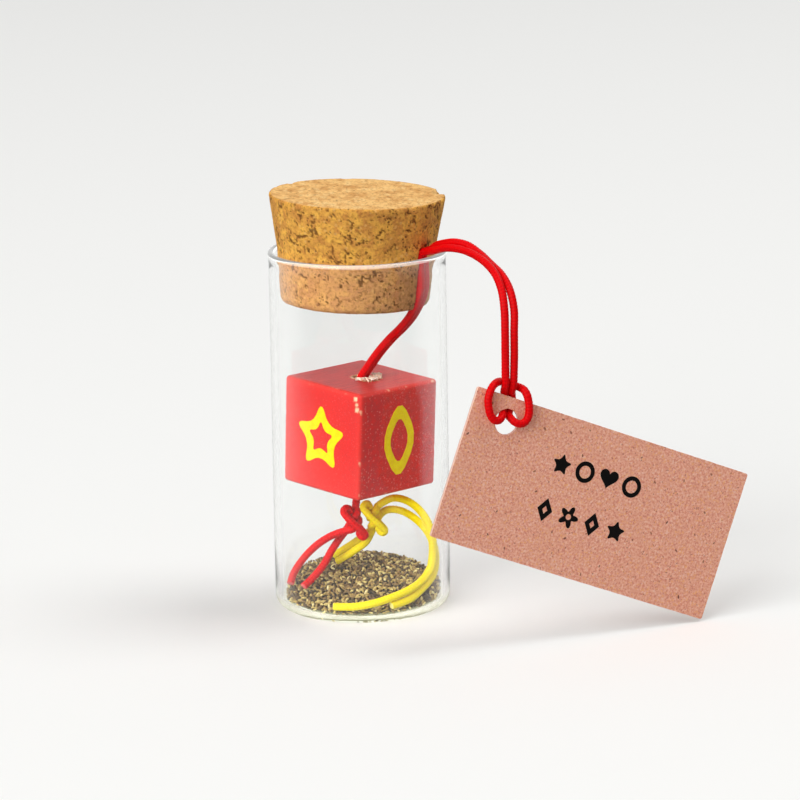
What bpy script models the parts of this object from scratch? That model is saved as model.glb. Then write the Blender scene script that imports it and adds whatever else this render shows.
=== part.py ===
# A small corked glass vial with a painted wooden cube bead inside it. The bead hangs on a
# doubled red cord that leaves the vial between the cork and the rim and ends in a cow hitch
# through the hole of a card tag. A yellow cord and a bed of seeds lie below the bead.
# Metres, +Z up. The origin is the centre of the vial's flat base, and -Y faces the viewer.

import math
import random

import bmesh
import bpy
from mathutils import Matrix, Vector

mm = 0.001
weld_distance = 0.001 * mm

# Glass vial
vial_radius = 12.5 * mm
vial_height = 51.5 * mm
vial_wall = 1.0 * mm
vial_base = 1.0 * mm
heel_radius = 2.0 * mm
inner_heel_radius = 0.8 * mm
rim_bead = 0.12 * mm
rim_bead_height = 1.6 * mm
vial_steps = 56

# Cork stopper
cork_above_rim = 7.9 * mm
cork_in_neck = 7.3 * mm
cork_flare = 1.3 * mm
cork_taper = 0.6 * mm
cork_top_edge = 0.25 * mm
cork_bottom_edge = 0.7 * mm
cork_clearance = 0.4 * mm
cork_shift = -0.15 * mm
cork_lean = math.radians(2.2)
cork_steps = 56

# Wooden cube bead
cube_corner_gap = 0.65 * mm
cube_rounding = 0.55 * mm
cube_hole_play = 1.0 * mm
cube_hole_rim = 0.25 * mm
cube_centre_height = 25.5 * mm
cube_turn = math.radians(44.3)
cube_lean_forward = math.radians(1.3)
cube_lean_right = math.radians(2.3)
bore_sides = 28

# Cords
cord_diameter = 1.0 * mm
cord_clearance = 0.3 * mm
cord_step = 2.4 * mm
cord_least_step = 0.5 * mm
cord_bend_share = 0.42
cord_resolution = 2
per_span = 24

# Overhand knots: a core of two passes twisted together, and the loop that joins them
# across the front, from the lower right to the upper left
knot_strand_gap = 0.26 * mm
knot_half_turn_height = 1.35 * mm
knot_turn = math.radians(450)
knot_turn_step = math.radians(45)
knot_start_angle = math.radians(45)
knot_loop_reach = 1.76 * mm
knot_lean = math.radians(-8)
red_knot_centre = Vector((-1.05 * mm, -0.75 * mm, 12.3 * mm))
red_knot_turn_out = math.radians(360)
yellow_knot_centre = Vector((1.75 * mm, -0.2 * mm, 12.75 * mm))
yellow_knot_turn_out = math.radians(450)

# Card tag
tag_length = 44.7 * mm
tag_height = 21.4 * mm
tag_thickness = 0.5 * mm
tag_hole_play = 1.6 * mm
tag_hole_from_end = 5.75 * mm
tag_hole_from_top = 3.4 * mm
tag_corner_radius = 0.3 * mm
tag_floor_gap = 0.3 * mm
tag_turn = math.radians(24.5)
tag_lean = math.radians(-3.5)
tag_swing = math.radians(22.3)
tag_hole_place = Vector((19.9 * mm, -23.4 * mm))
hitch_lead = 2.3 * mm

# Seeds
seed_wall_gap = 0.3 * mm
seed_floor_gap = 0.05 * mm
seed_level = 2.75 * mm
seed_slope = 0.2
seed_crown = 1.5 * mm
seed_drift_height = 2.0 * mm
seed_drift_spread = 3.5 * mm
seed_drift_place = Vector((11.0 * mm, -4.0 * mm))
seed_least_depth = 0.35 * mm
seed_grain = 0.75 * mm
seed_grain_relief = 0.16 * mm

mouth_radius = vial_radius - vial_wall
cork_top = vial_height + cork_above_rim
cork_bottom = vial_height - cork_in_neck
tube_radius = cord_diameter / 2
knot_core_radius = (cord_diameter + knot_strand_gap) / 2
knot_core_height = knot_turn / math.pi * knot_half_turn_height
cube_edge = (mouth_radius - cube_corner_gap) * math.sqrt(2)
cube_hole_diameter = 2 * cord_diameter + cube_hole_play
tag_hole_diameter = 2 * cord_diameter + tag_hole_play

# Routes of the cords, points chosen by hand, in millimetres. Each red strand rises straight
# from the hitch, runs over the arch to the rim, then down to the cube, its knot and its tail.
red_arch_a = [
    (19.87, -22.9, 47.1), (19.58, -21.8, 49.5), (18.89, -20.1, 51.3), (17.85, -18.0, 52.4),
    (16.4, -15.5, 53.15), (14.8, -13.3, 53.55), (13.5, -11.85, 53.6), (12.1, -10.4, 53.4),
    (10.85, -9.0, 52.85), (9.64, -7.1, 52.3),
]
red_arch_b = [
    (21.2, -22.3, 47.0), (20.71, -21.25, 49.45), (19.76, -19.3, 51.1), (18.21, -16.54, 52.3),
    (16.86, -13.95, 53.2), (15.22, -12.16, 54.08), (13.53, -10.65, 54.25), (12.1, -9.2, 53.85),
    (11.08, -7.7, 53.28), (10.25, -6.17, 52.4),
]
red_fall_a = [
    (9.02, -6.68, 52.12), (8.6, -6.4, 51.45), (8.52, -6.34, 50.3), (8.52, -6.34, 48.4),
    (8.45, -6.3, 46.8), (8.15, -6.1, 45.4), (7.65, -5.8, 44.1), (6.9, -5.3, 42.6),
    (5.75, -4.5, 41.0), (4.25, -3.5, 39.3), (2.5, -2.35, 37.0), (1.15, -1.45, 34.9),
    (0.3, -0.95, 33.5), (-0.1, -0.7, 32.0), (-0.2, -0.6, 29.0), (-0.3, -0.5, 25.4),
    (-0.4, -0.42, 21.5), (-0.5, -0.35, 18.0), (-0.7, -0.15, 15.7),
]
red_fall_b = [
    (9.63, -5.77, 52.12), (9.2, -5.48, 51.45), (9.13, -5.43, 50.3), (9.13, -5.43, 48.4),
    (9.06, -5.38, 46.8), (8.76, -5.2, 45.4), (8.26, -4.88, 44.1), (7.5, -4.38, 42.6),
    (6.35, -3.6, 41.0), (4.85, -2.6, 39.3), (3.1, -1.4, 37.0), (1.75, -0.5, 34.9),
    (0.9, 0.0, 33.5), (0.5, 0.25, 32.0), (0.3, 0.42, 29.0), (0.05, 0.6, 25.4),
    (-0.2, 0.7, 21.5), (-0.4, 0.8, 18.0), (-0.55, 1.0, 16.2), (-0.8, 1.1, 14.3),
    (-1.3, 1.15, 12.3), (-2.2, 0.95, 10.7), (-3.3, 0.3, 9.4), (-4.4, -0.3, 7.9),
    (-5.5, -1.2, 6.1), (-7.0, -2.4, 4.5), (-8.3, -3.5, 3.5),
]
arch_points_by_cork = 5
fall_points_by_cork = 12
red_tail_a = [
    (-2.3, -0.95, 10.95), (-3.3, -0.85, 10.65), (-4.6, -0.8, 10.1), (-6.3, -0.7, 9.0),
    (-8.2, -0.5, 7.1), (-9.85, -1.0, 4.75), (-10.25, -2.0, 3.55),
]
yellow_long_a = [
    (-4.0, -9.65, 2.2), (-1.2, -10.35, 2.35), (1.6, -10.3, 2.8), (4.2, -9.5, 3.45),
    (6.6, -8.05, 4.15), (8.35, -6.2, 5.05), (9.4, -4.6, 6.3), (9.75, -3.9, 8.2),
    (9.7, -3.75, 10.2), (9.24, -3.2, 12.4), (8.45, -2.5, 13.8), (7.3, -1.8, 14.85),
    (5.8, -1.1, 15.5), (4.4, -0.55, 15.5), (3.2, -0.1, 14.9),
]
yellow_tail_a = [
    (1.1, 0.35, 9.9), (0.6, 0.45, 9.0), (-0.1, 0.7, 8.3), (-0.9, 0.95, 7.7),
    (-2.0, 1.35, 6.85), (-2.9, 1.7, 6.2), (-3.6, 2.1, 5.7),
]
yellow_route_b = [
    (3.9, -9.65, 2.2), (6.4, -8.2, 2.75), (8.35, -6.2, 3.9), (9.6, -4.15, 4.95),
    (10.1, -3.0, 6.2), (10.15, -2.6, 8.0), (9.75, -2.3, 9.8), (8.9, -1.7, 11.3),
    (7.6, -0.8, 12.5), (6.2, 0.05, 13.25), (4.8, 0.65, 13.55), (3.4, 1.15, 13.3),
    (2.4, 1.55, 12.3), (1.85, 1.65, 11.0), (1.2, 1.75, 10.2), (0.4, 1.9, 9.6),
    (-0.4, 2.15, 8.9), (-1.4, 2.55, 8.1), (-2.5, 3.1, 7.25), (-3.5, 3.6, 6.5),
    (-4.1, 3.9, 6.1),
]

# The hitch, in millimetres from the centre of the tag's hole: to the right along the tag's
# plane, out towards the viewer, and up.
hitch_route = [
    (-0.05, 0.72, 9.6), (-0.05, 0.6, 7.7), (-0.05, 0.5, 6.3), (0.0, 0.42, 5.4),
    (0.05, 0.05, 4.7), (0.15, -0.45, 4.1), (0.35, -0.85, 3.5), (0.45, -1.1, 2.8),
    (0.35, -1.1, 2.1), (0.0, -0.88, 1.52), (-0.35, -0.2, 1.1), (-0.8, 0.5, 0.85),
    (-1.5, 1.0, 0.5), (-2.3, 1.15, 0.6), (-2.85, 1.15, 1.35), (-3.05, 1.1, 2.35),
    (-3.05, 1.0, 3.4), (-2.75, 0.9, 4.3), (-2.2, 0.63, 5.05), (-1.35, -0.03, 5.42),
    (-0.4, -0.72, 5.47), (0.4, -1.05, 5.28), (1.25, -1.05, 4.92), (1.8, -1.08, 4.7),
    (2.28, -0.7, 4.5), (2.6, -0.12, 4.32), (2.8, 0.38, 4.05), (2.96, 0.82, 3.45),
    (3.07, 1.0, 2.6), (3.08, 1.1, 1.6), (2.92, 1.15, 0.65), (2.4, 1.15, -0.1), (1.6, 1.15, -0.35),
    (0.95, 0.95, -0.1), (0.65, 0.5, 0.3), (0.65, -0.35, 0.72), (1.0, -0.92, 1.15),
    (1.42, -1.1, 1.9), (1.54, -1.1, 2.45), (1.53, -0.92, 3.0), (1.4, -0.72, 3.62),
    (1.18, -0.28, 4.08), (1.15, 0.25, 4.75), (1.17, 0.5, 5.7), (1.22, 0.6, 7.0),
    (1.32, 0.72, 9.6),
]


def clear_scene():
    for old in list(bpy.data.objects):
        bpy.data.objects.remove(old, do_unlink=True)


def new_collection(name):
    made = bpy.data.collections.new(name)
    bpy.context.scene.collection.children.link(made)
    return made


def material(name, colour, roughness, metallic=0.0, transmission=0.0, alpha=1.0):
    made = bpy.data.materials.new(name)
    made.use_nodes = True
    shader = made.node_tree.nodes["Principled BSDF"]
    shader.inputs["Base Color"].default_value = (*colour, 1.0)
    shader.inputs["Roughness"].default_value = roughness
    shader.inputs["Metallic"].default_value = metallic
    shader.inputs["Transmission Weight"].default_value = transmission
    shader.inputs["Alpha"].default_value = alpha
    made.diffuse_color = (*colour, alpha)
    return made


def object_from_mesh(name, mesh, collection):
    made = bpy.data.objects.new(name, mesh)
    collection.objects.link(made)
    return made


def mark_cutter(cutter):
    cutter.hide_render = True
    cutter.display_type = "WIRE"


def cut(target, cutter):
    boolean = target.modifiers.new("cut_" + cutter.name, "BOOLEAN")
    boolean.operation = "DIFFERENCE"
    boolean.solver = "EXACT"
    boolean.object = cutter


def turned(name, profile, steps, collection):
    # The profile is a list of (radius, height) points that ends with the outer side, downward.
    mesh = bpy.data.meshes.new(name)
    edges = [(i, i + 1) for i in range(len(profile) - 1)]
    mesh.from_pydata([(radius, 0.0, height) for radius, height in profile], edges, [])
    made = object_from_mesh(name, mesh, collection)
    screw = made.modifiers.new("turn", "SCREW")
    screw.axis = "Z"
    screw.steps = steps
    screw.render_steps = steps
    screw.use_merge_vertices = True
    screw.merge_threshold = weld_distance
    screw.use_smooth_shade = True
    return made


def arc(centre, radius, start, end, count):
    # Points on an arc in a turned profile, angles in degrees from +X.
    points = []
    for i in range(count + 1):
        angle = math.radians(start + (end - start) * i / count)
        points.append((centre[0] + radius * math.cos(angle), centre[1] + radius * math.sin(angle)))
    return points


def in_mm(points):
    return [Vector(point) * mm for point in points]


def smooth_route(points):
    # A centripetal Catmull-Rom curve through every point of the route.
    first = points[0] * 2 - points[1]
    last = points[-1] * 2 - points[-2]
    padded = [first] + list(points) + [last]
    curve = []
    for i in range(1, len(padded) - 2):
        p0, p1, p2, p3 = padded[i - 1:i + 3]
        t1 = (p1 - p0).length ** 0.5
        t2 = t1 + (p2 - p1).length ** 0.5
        t3 = t2 + (p3 - p2).length ** 0.5
        for step in range(per_span):
            t = t1 + (t2 - t1) * step / per_span
            a1 = p0 * ((t1 - t) / t1) + p1 * (t / t1)
            a2 = p1 * ((t2 - t) / (t2 - t1)) + p2 * ((t - t1) / (t2 - t1))
            a3 = p2 * ((t3 - t) / (t3 - t2)) + p3 * ((t - t2) / (t3 - t2))
            b1 = a1 * ((t2 - t) / t2) + a2 * (t / t2)
            b2 = a2 * ((t3 - t) / (t3 - t1)) + a3 * ((t - t1) / (t3 - t1))
            curve.append(b1 * ((t2 - t) / (t2 - t1)) + b2 * ((t - t1) / (t2 - t1)))
    curve.append(points[-1])
    return curve


def shortened(curve, from_start, from_end):
    # Takes a length off each end of a fine curve.
    run = [0.0]
    for i in range(1, len(curve)):
        run.append(run[-1] + (curve[i] - curve[i - 1]).length)
    return [p for p, r in zip(curve, run) if from_start <= r <= run[-1] - from_end]


def spaced(curve):
    # Thins a fine curve: wide steps where it runs straight, short ones where it bends.
    kept = [curve[0]]
    walked = 0.0
    for i in range(1, len(curve) - 1):
        before = curve[i] - curve[i - 1]
        after = curve[i + 1] - curve[i]
        walked += before.length
        turn = before.angle(after, 0.0)
        bend = cord_bend_share * before.length / turn if turn > 0.0 else cord_step
        step = min(cord_step, max(cord_least_step, bend))
        if walked >= step:
            kept.append(curve[i])
            walked = 0.0
    if walked < cord_least_step / 2 and len(kept) > 2:
        kept.pop()
    kept.append(curve[-1])
    return kept


def tube(name, points, radius, collection):
    curve = bpy.data.curves.new(name, "CURVE")
    curve.dimensions = "3D"
    curve.bevel_depth = radius
    curve.bevel_resolution = cord_resolution
    curve.use_fill_caps = True
    spline = curve.splines.new("POLY")
    spline.points.add(len(points) - 1)
    for target, place in zip(spline.points, points):
        target.co = (*place, 1.0)
    made = bpy.data.objects.new(name, curve)
    collection.objects.link(made)
    return made


def mesh_from_curve(source, collection):
    # A curve can't be cut or be a cutter, so its mesh takes its place.
    depsgraph = bpy.context.evaluated_depsgraph_get()
    mesh = bpy.data.meshes.new_from_object(source.evaluated_get(depsgraph))
    cleaned = bmesh.new()
    cleaned.from_mesh(mesh)
    bmesh.ops.remove_doubles(cleaned, verts=cleaned.verts, dist=weld_distance)
    bmesh.ops.recalc_face_normals(cleaned, faces=cleaned.faces)
    cleaned.to_mesh(mesh)
    cleaned.free()
    name = source.name
    matrix = source.matrix_world.copy()
    bpy.data.objects.remove(source, do_unlink=True)
    made = object_from_mesh(name, mesh, collection)
    made.matrix_world = matrix
    return made


def set_origin(target, place):
    # Moves a mesh or curve object's origin without moving its shape.
    target.data.transform(Matrix.Translation(target.location - place))
    target.location = place


def vial_profile():
    lip_radius = vial_wall / 2
    lip_centre = (vial_radius - lip_radius, vial_height - lip_radius)
    inner_heel = (mouth_radius - inner_heel_radius, vial_base + inner_heel_radius)
    outer_heel = (vial_radius - heel_radius, heel_radius)
    profile = [(0.0, vial_base)]
    profile += arc(inner_heel, inner_heel_radius, -90, 0, 4)
    profile.append((mouth_radius, vial_height / 2))
    profile += arc(lip_centre, lip_radius, 180, 90, 4)
    profile += arc((lip_centre[0] + rim_bead, lip_centre[1]), lip_radius, 70, 0, 3)
    profile.append((vial_radius, vial_height - rim_bead_height))
    profile.append((vial_radius, vial_height / 2))
    profile += arc(outer_heel, heel_radius, 0, -90, 5)
    profile.append((0.0, 0.0))
    return profile


def make_vial(parts):
    vial = turned("glass_vial", vial_profile(), vial_steps, parts)
    vial.data.materials.append(material("clear_glass", (0.86, 0.92, 0.9), 0.03, 0.0, 1.0, 0.3))
    return vial


def cork_profile():
    # The cork flares above the rim and, squeezed by the neck, tapers less below it.
    at_rim = mouth_radius - cork_clearance
    top_radius = at_rim + cork_flare
    bottom_radius = at_rim - cork_taper
    edge = cork_bottom_edge
    profile = [(0.0, cork_top)]
    profile.append((top_radius - cork_top_edge, cork_top))
    profile.append((top_radius, cork_top - cork_top_edge))
    profile.append((at_rim, vial_height))
    profile += arc((bottom_radius - edge, cork_bottom + edge), edge, 0, -90, 4)
    profile.append((0.0, cork_bottom))
    return profile


def cork_matrix():
    # The cords press the cork aside, so it sits a little askew in the mouth.
    at_rim = Matrix.Translation((0.0, 0.0, vial_height))
    shifted = Matrix.Translation((cork_shift, 0.0, 0.0))
    return shifted @ at_rim @ Matrix.Rotation(cork_lean, 4, "Y") @ at_rim.inverted()


def make_cork(parts, cutters):
    cork = turned("cork_stopper", cork_profile(), cork_steps, parts)
    # The pair of strands presses one wide dent into the side of the cork.
    dent_radius = tube_radius + cord_clearance
    run_a = in_mm(red_arch_a[-arch_points_by_cork:] + red_fall_a[:fall_points_by_cork])
    run_b = in_mm(red_arch_b[-arch_points_by_cork:] + red_fall_b[:fall_points_by_cork])
    run_middle = [(a + b) / 2 for a, b in zip(run_a, run_b)]
    for name, run in (("dent_a", run_a), ("dent_b", run_b), ("dent_middle", run_middle)):
        dent = mesh_from_curve(tube(name, spaced(smooth_route(run)), dent_radius, cutters), cutters)
        mark_cutter(dent)
        cut(cork, dent)
    set_origin(cork, Vector((0.0, 0.0, cork_bottom)))
    cork.matrix_world = cork_matrix() @ Matrix.Translation(cork.location)
    cork.data.materials.append(material("cork", (0.62, 0.4, 0.2), 0.85))
    return cork


def cube_matrix():
    place = Matrix.Translation((0.0, 0.0, cube_centre_height))
    lean = Matrix.Rotation(cube_lean_forward, 4, "X") @ Matrix.Rotation(cube_lean_right, 4, "Y")
    return place @ lean @ Matrix.Rotation(cube_turn, 4, "Z")


def make_cube(parts, cutters):
    mesh = bpy.data.meshes.new("wooden_cube")
    shape = bmesh.new()
    bmesh.ops.create_cube(shape, size=cube_edge)
    shape.to_mesh(mesh)
    shape.free()
    cube = object_from_mesh("wooden_cube", mesh, parts)
    rounding = cube.modifiers.new("rounding", "BEVEL")
    rounding.width = cube_rounding
    rounding.segments = 3
    rounding.limit_method = "ANGLE"
    bore = object_from_mesh("bead_bore", bpy.data.meshes.new("bead_bore"), cutters)
    shape = bmesh.new()
    overrun = cube_edge / 10
    bore_radius = cube_hole_diameter / 2
    bmesh.ops.create_cone(shape, cap_ends=True, segments=bore_sides, radius1=bore_radius,
                          radius2=bore_radius, depth=cube_edge + 2 * overrun)
    shape.to_mesh(bore.data)
    shape.free()
    mark_cutter(bore)
    cut(cube, bore)
    # The bore's mouths are eased, as a drill leaves them.
    for side, name in ((1, "flare_top"), (-1, "flare_bottom")):
        flare = object_from_mesh(name, bpy.data.meshes.new(name), cutters)
        shape = bmesh.new()
        bmesh.ops.create_cone(shape, cap_ends=True, segments=bore_sides, radius1=bore_radius,
                              radius2=bore_radius + 2 * cube_hole_rim, depth=2 * cube_hole_rim)
        shape.to_mesh(flare.data)
        shape.free()
        mark_cutter(flare)
        flip = Matrix.Rotation(0.0 if side > 0 else math.pi, 4, "X")
        flare.matrix_world = cube_matrix() @ Matrix.Translation((0.0, 0.0, side * cube_edge / 2)) @ flip
        cut(cube, flare)
    cube.matrix_world = cube_matrix()
    bore.matrix_world = cube_matrix()
    cube.data.materials.append(material("red_paint", (0.72, 0.05, 0.045), 0.4))
    return cube


def overhand(centre, skipped, turn_out):
    # Two passes wind down round each other. The loop leaves the foot of the first, crosses the
    # front and turns into the head of the second. The first may start some steps into its turn.
    half = knot_core_height / 2
    fall = knot_core_height / knot_turn
    foot_angle = knot_start_angle - knot_turn
    head_angle = knot_start_angle + math.pi
    crossing = (head_angle - foot_angle) % (2 * math.pi) - 2 * math.pi
    loop_radius = (knot_loop_reach - knot_core_radius) / 2
    loop_middle = knot_core_radius + loop_radius

    def place(angle, reach, height):
        return Vector((reach * math.cos(angle), reach * math.sin(angle), height))

    def core_pass(start_angle, turn):
        count = round(turn / knot_turn_step)
        return [place(start_angle - turn * i / count, knot_core_radius, half - fall * turn * i / count)
                for i in range(count + 1)]

    def loop_end(angle, side, degrees):
        turn = math.radians(degrees)
        return place(angle, loop_middle + loop_radius * math.cos(turn),
                     side * half + loop_radius * math.sin(turn))

    points = core_pass(knot_start_angle, knot_turn)[skipped:]
    points += [loop_end(foot_angle, -1, degrees) for degrees in (-140, -100, -60, -20)]
    for share in (0.3, 0.5, 0.7):
        points.append(place(foot_angle + crossing * share, knot_loop_reach, (2 * share - 1) * half))
    points += [loop_end(foot_angle + crossing, 1, degrees) for degrees in (20, 60, 100, 140)]
    points += core_pass(head_angle, turn_out)
    lean = Matrix.Rotation(knot_lean, 3, "Y")
    return [centre + lean @ point for point in points]


def make_red_cord(parts, red):
    hitch_ends = hitch_places()
    for letter, end, arch, fall in (("a", hitch_ends[0], red_arch_a, red_fall_a),
                                    ("b", hitch_ends[-1], red_arch_b, red_fall_b)):
        start = end + Vector((0.0, 0.0, cord_clearance))
        rise = [start, start + Vector((0.0, 0.0, hitch_lead))]
        route = rise + in_mm(arch + fall)
        if letter == "a":
            route += overhand(red_knot_centre, 0, red_knot_turn_out) + in_mm(red_tail_a)
        curve = smooth_route(route)
        at_rim = (len(rise) + len(arch) - 1) * per_span
        outer = shortened(curve[:at_rim + 1], 0.0, cord_clearance / 2)
        inner = shortened(curve[at_rim:], cord_clearance / 2, 0.0)
        for name, run in (("red_outer_" + letter, outer), ("red_inner_" + letter, inner)):
            strand = tube(name, spaced(run), tube_radius, parts)
            strand.data.materials.append(red)


def make_yellow_cord(parts, yellow):
    knot = overhand(yellow_knot_centre, 1, yellow_knot_turn_out)
    route = in_mm(yellow_long_a) + knot + in_mm(yellow_tail_a)
    for name, points in (("yellow_cord_a", route), ("yellow_cord_b", in_mm(yellow_route_b))):
        strand = tube(name, spaced(smooth_route(points)), tube_radius, parts)
        strand.data.materials.append(yellow)


def tag_plane():
    # The tag's plane without its swing: X along the tag, Y away from the viewer.
    return Matrix.Rotation(tag_turn, 4, "Z") @ Matrix.Rotation(tag_lean, 4, "X")


def tag_hole_height():
    # The tag's lower right corner stands just clear of the floor.
    swung = tag_plane() @ Matrix.Rotation(tag_swing, 4, "Y")
    corner = swung @ Vector((tag_length - tag_hole_from_end, 0.0, tag_hole_from_top - tag_height))
    return tag_floor_gap - corner.z


def tag_hole_centre():
    return Vector((tag_hole_place.x, tag_hole_place.y, tag_hole_height()))


def make_tag(parts):
    left = -tag_hole_from_end
    right = tag_length - tag_hole_from_end
    top = tag_hole_from_top
    bottom = tag_hole_from_top - tag_height
    radius = tag_corner_radius
    corners = arc((right - radius, top - radius), radius, 0, 90, 3)
    corners += arc((left + radius, top - radius), radius, 90, 180, 3)
    corners += arc((left + radius, bottom + radius), radius, 180, 270, 3)
    corners += arc((right - radius, bottom + radius), radius, 270, 360, 3)
    hole = arc((0.0, 0.0), tag_hole_diameter / 2, 0, 360, 32)[:-1]
    outline = bpy.data.curves.new("gift_tag", "CURVE")
    outline.dimensions = "2D"
    outline.fill_mode = "BOTH"
    outline.extrude = tag_thickness / 2
    for points in (corners, hole):
        spline = outline.splines.new("POLY")
        spline.points.add(len(points) - 1)
        for target, place in zip(spline.points, points):
            target.co = (place[0], place[1], 0.0, 1.0)
        spline.use_cyclic_u = True
    flat = bpy.data.objects.new("gift_tag", outline)
    parts.objects.link(flat)
    stand = Matrix.Rotation(math.pi / 2, 4, "X")
    bpy.context.view_layer.update()
    tag = mesh_from_curve(flat, parts)
    tag.matrix_world = (Matrix.Translation(tag_hole_centre()) @ tag_plane()
                        @ Matrix.Rotation(tag_swing, 4, "Y") @ stand)
    tag.data.materials.append(material("brown_card", (0.6, 0.29, 0.2), 0.9))
    return tag


def hitch_places():
    plane = tag_plane()
    hole = tag_hole_centre()
    places = []
    for right, out, up in hitch_route:
        places.append(hole + plane @ Vector((right * mm, -out * mm, up * mm)))
    return places


def make_hitch(parts, red):
    places = hitch_places()
    hitch = tube("tag_hitch", spaced(smooth_route(places)), tube_radius, parts)
    set_origin(hitch, (places[0] + places[-1]) / 2)
    hitch.data.materials.append(red)
    return hitch


def seed_top(x, y):
    # The bed slopes down towards the viewer, with a drift against the wall at the right.
    reach = mouth_radius - seed_wall_gap
    crown = seed_crown * (1 - (x * x + y * y) / (reach * reach))
    off_x = x - seed_drift_place.x
    off_y = y - seed_drift_place.y
    drift = seed_drift_height * math.exp(-(off_x * off_x + off_y * off_y) / (2 * seed_drift_spread ** 2))
    return max(vial_base + seed_least_depth, seed_level + seed_slope * y + crown + drift)


def make_seeds(parts):
    # One body: a flat underside, a short wall, and a top of grain-sized bumps.
    reach = mouth_radius - seed_wall_gap
    under = vial_base + seed_floor_gap
    inner_reach = reach - inner_heel_radius / 2
    dice = random.Random(11)
    shape = bmesh.new()
    rings = round(reach / seed_grain)
    rows = []
    for ring in range(rings + 1):
        radius = reach * ring / rings
        count = 1 if ring == 0 else 6 * ring
        row = []
        for i in range(count):
            angle = 2 * math.pi * (i + 0.5 * (ring % 2)) / count
            x = radius * math.cos(angle)
            y = radius * math.sin(angle)
            bump = 0.0 if ring == rings else seed_grain_relief * dice.uniform(-1, 1)
            row.append(shape.verts.new((x, y, seed_top(x, y) + bump)))
        rows.append(row)
    for ring in range(rings):
        inside = rows[ring]
        outside = rows[ring + 1]
        i = 0
        j = 0
        n = len(inside)
        m = len(outside)
        shift_in = 0.5 * (ring % 2)
        shift_out = 0.5 * ((ring + 1) % 2)
        while i < n or j < m:
            next_in = (i + 1 + shift_in) / n if n > 1 else 2.0
            next_out = (j + 1 + shift_out) / m
            if j < m and (i >= n or next_out <= next_in or n == 1):
                shape.faces.new((inside[i % n], outside[j % m], outside[(j + 1) % m]))
                j += 1
            elif n > 1:
                shape.faces.new((inside[i % n], outside[j % m], inside[(i + 1) % n]))
                i += 1
            else:
                break
    rim = rows[-1]
    low = []
    for top in rim:
        share = inner_reach / reach
        low.append(shape.verts.new((top.co.x * share, top.co.y * share, under)))
    for i in range(len(rim)):
        k = (i + 1) % len(rim)
        shape.faces.new((rim[i], low[i], low[k], rim[k]))
    shape.faces.new(list(reversed(low)))
    bmesh.ops.recalc_face_normals(shape, faces=shape.faces)
    mesh = bpy.data.meshes.new("seed_bed")
    shape.to_mesh(mesh)
    shape.free()
    bed = object_from_mesh("seed_bed", mesh, parts)
    bed.data.materials.append(material("seeds", (0.3, 0.24, 0.11), 0.8))
    return bed


def shade_parts(parts):
    for piece in parts.objects:
        if piece.type == "MESH" and piece.name != "seed_bed":
            piece.data.shade_smooth()
            piece.data.set_sharp_from_angle(angle=math.radians(35))


def main():
    clear_scene()
    parts = new_collection("corked_vial")
    cutters = new_collection("cutters")
    red = material("red_cord", (0.75, 0.01, 0.015), 0.5)
    yellow = material("yellow_cord", (0.9, 0.72, 0.03), 0.5)
    make_vial(parts)
    make_cork(parts, cutters)
    make_cube(parts, cutters)
    make_red_cord(parts, red)
    make_yellow_cord(parts, yellow)
    make_tag(parts)
    make_hitch(parts, red)
    make_seeds(parts)
    shade_parts(parts)
    bpy.context.view_layer.update()


main()
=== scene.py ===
# Looks for the small corked vial: glass, cork, painted bead, knotted cords, card tag and seeds.
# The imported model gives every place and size. This file adds the finished surfaces round it.

import math

import bmesh
import bpy
import numpy as np
from mathutils import Euler, Matrix, Vector, kdtree, noise


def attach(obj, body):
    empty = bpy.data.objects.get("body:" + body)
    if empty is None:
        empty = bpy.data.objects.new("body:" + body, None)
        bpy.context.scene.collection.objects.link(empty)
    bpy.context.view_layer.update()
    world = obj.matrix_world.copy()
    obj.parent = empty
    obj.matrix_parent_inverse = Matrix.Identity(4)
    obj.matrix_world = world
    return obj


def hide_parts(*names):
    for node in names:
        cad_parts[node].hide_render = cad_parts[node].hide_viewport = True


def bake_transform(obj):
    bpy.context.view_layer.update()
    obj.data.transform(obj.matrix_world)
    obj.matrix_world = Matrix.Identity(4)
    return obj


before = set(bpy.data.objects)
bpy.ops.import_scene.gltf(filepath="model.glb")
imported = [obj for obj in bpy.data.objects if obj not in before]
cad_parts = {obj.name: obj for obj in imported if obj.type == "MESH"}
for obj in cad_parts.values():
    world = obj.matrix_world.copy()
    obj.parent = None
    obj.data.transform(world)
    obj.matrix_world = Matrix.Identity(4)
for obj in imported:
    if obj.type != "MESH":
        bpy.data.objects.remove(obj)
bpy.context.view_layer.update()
mm = 0.001
noise.seed_set(5)   # without it the vector noise starts from the clock
print("frame loaded:", len(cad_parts), "nodes")


# Small helpers

def linear(red, green, blue):
    # a colour as seen on a screen, 0 to 255, made linear
    parts = []
    for value in (red, green, blue):
        value /= 255
        parts.append(value / 12.92 if value <= 0.04045 else ((value + 0.055) / 1.055) ** 2.4)
    return (*parts, 1.0)


def stepBetween(low, high, value):
    t = min(1.0, max(0.0, (value - low) / (high - low)))
    return t * t * (3 - 2 * t)


def newObject(name, mesh):
    made = bpy.data.objects.new(name, mesh)
    bpy.context.scene.collection.objects.link(made)
    return made


def meshFrom(name, points, faces, smooth=True):
    mesh = bpy.data.meshes.new(name)
    mesh.from_pydata([tuple(p) for p in points], [], faces)
    mesh.validate()
    if smooth:
        mesh.shade_smooth()
    return mesh


def applied(piece):
    # takes an object's modifiers into its mesh and turns a curve into a mesh
    bpy.context.view_layer.update()
    seen = piece.evaluated_get(bpy.context.evaluated_depsgraph_get())
    mesh = bpy.data.meshes.new_from_object(seen)
    mesh.transform(piece.matrix_world)
    name = piece.name
    old = piece.data
    bpy.data.objects.remove(piece)
    if old.users == 0 and isinstance(old, bpy.types.Mesh):
        bpy.data.meshes.remove(old)
    mesh.name = name
    return newObject(name, mesh)


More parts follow.
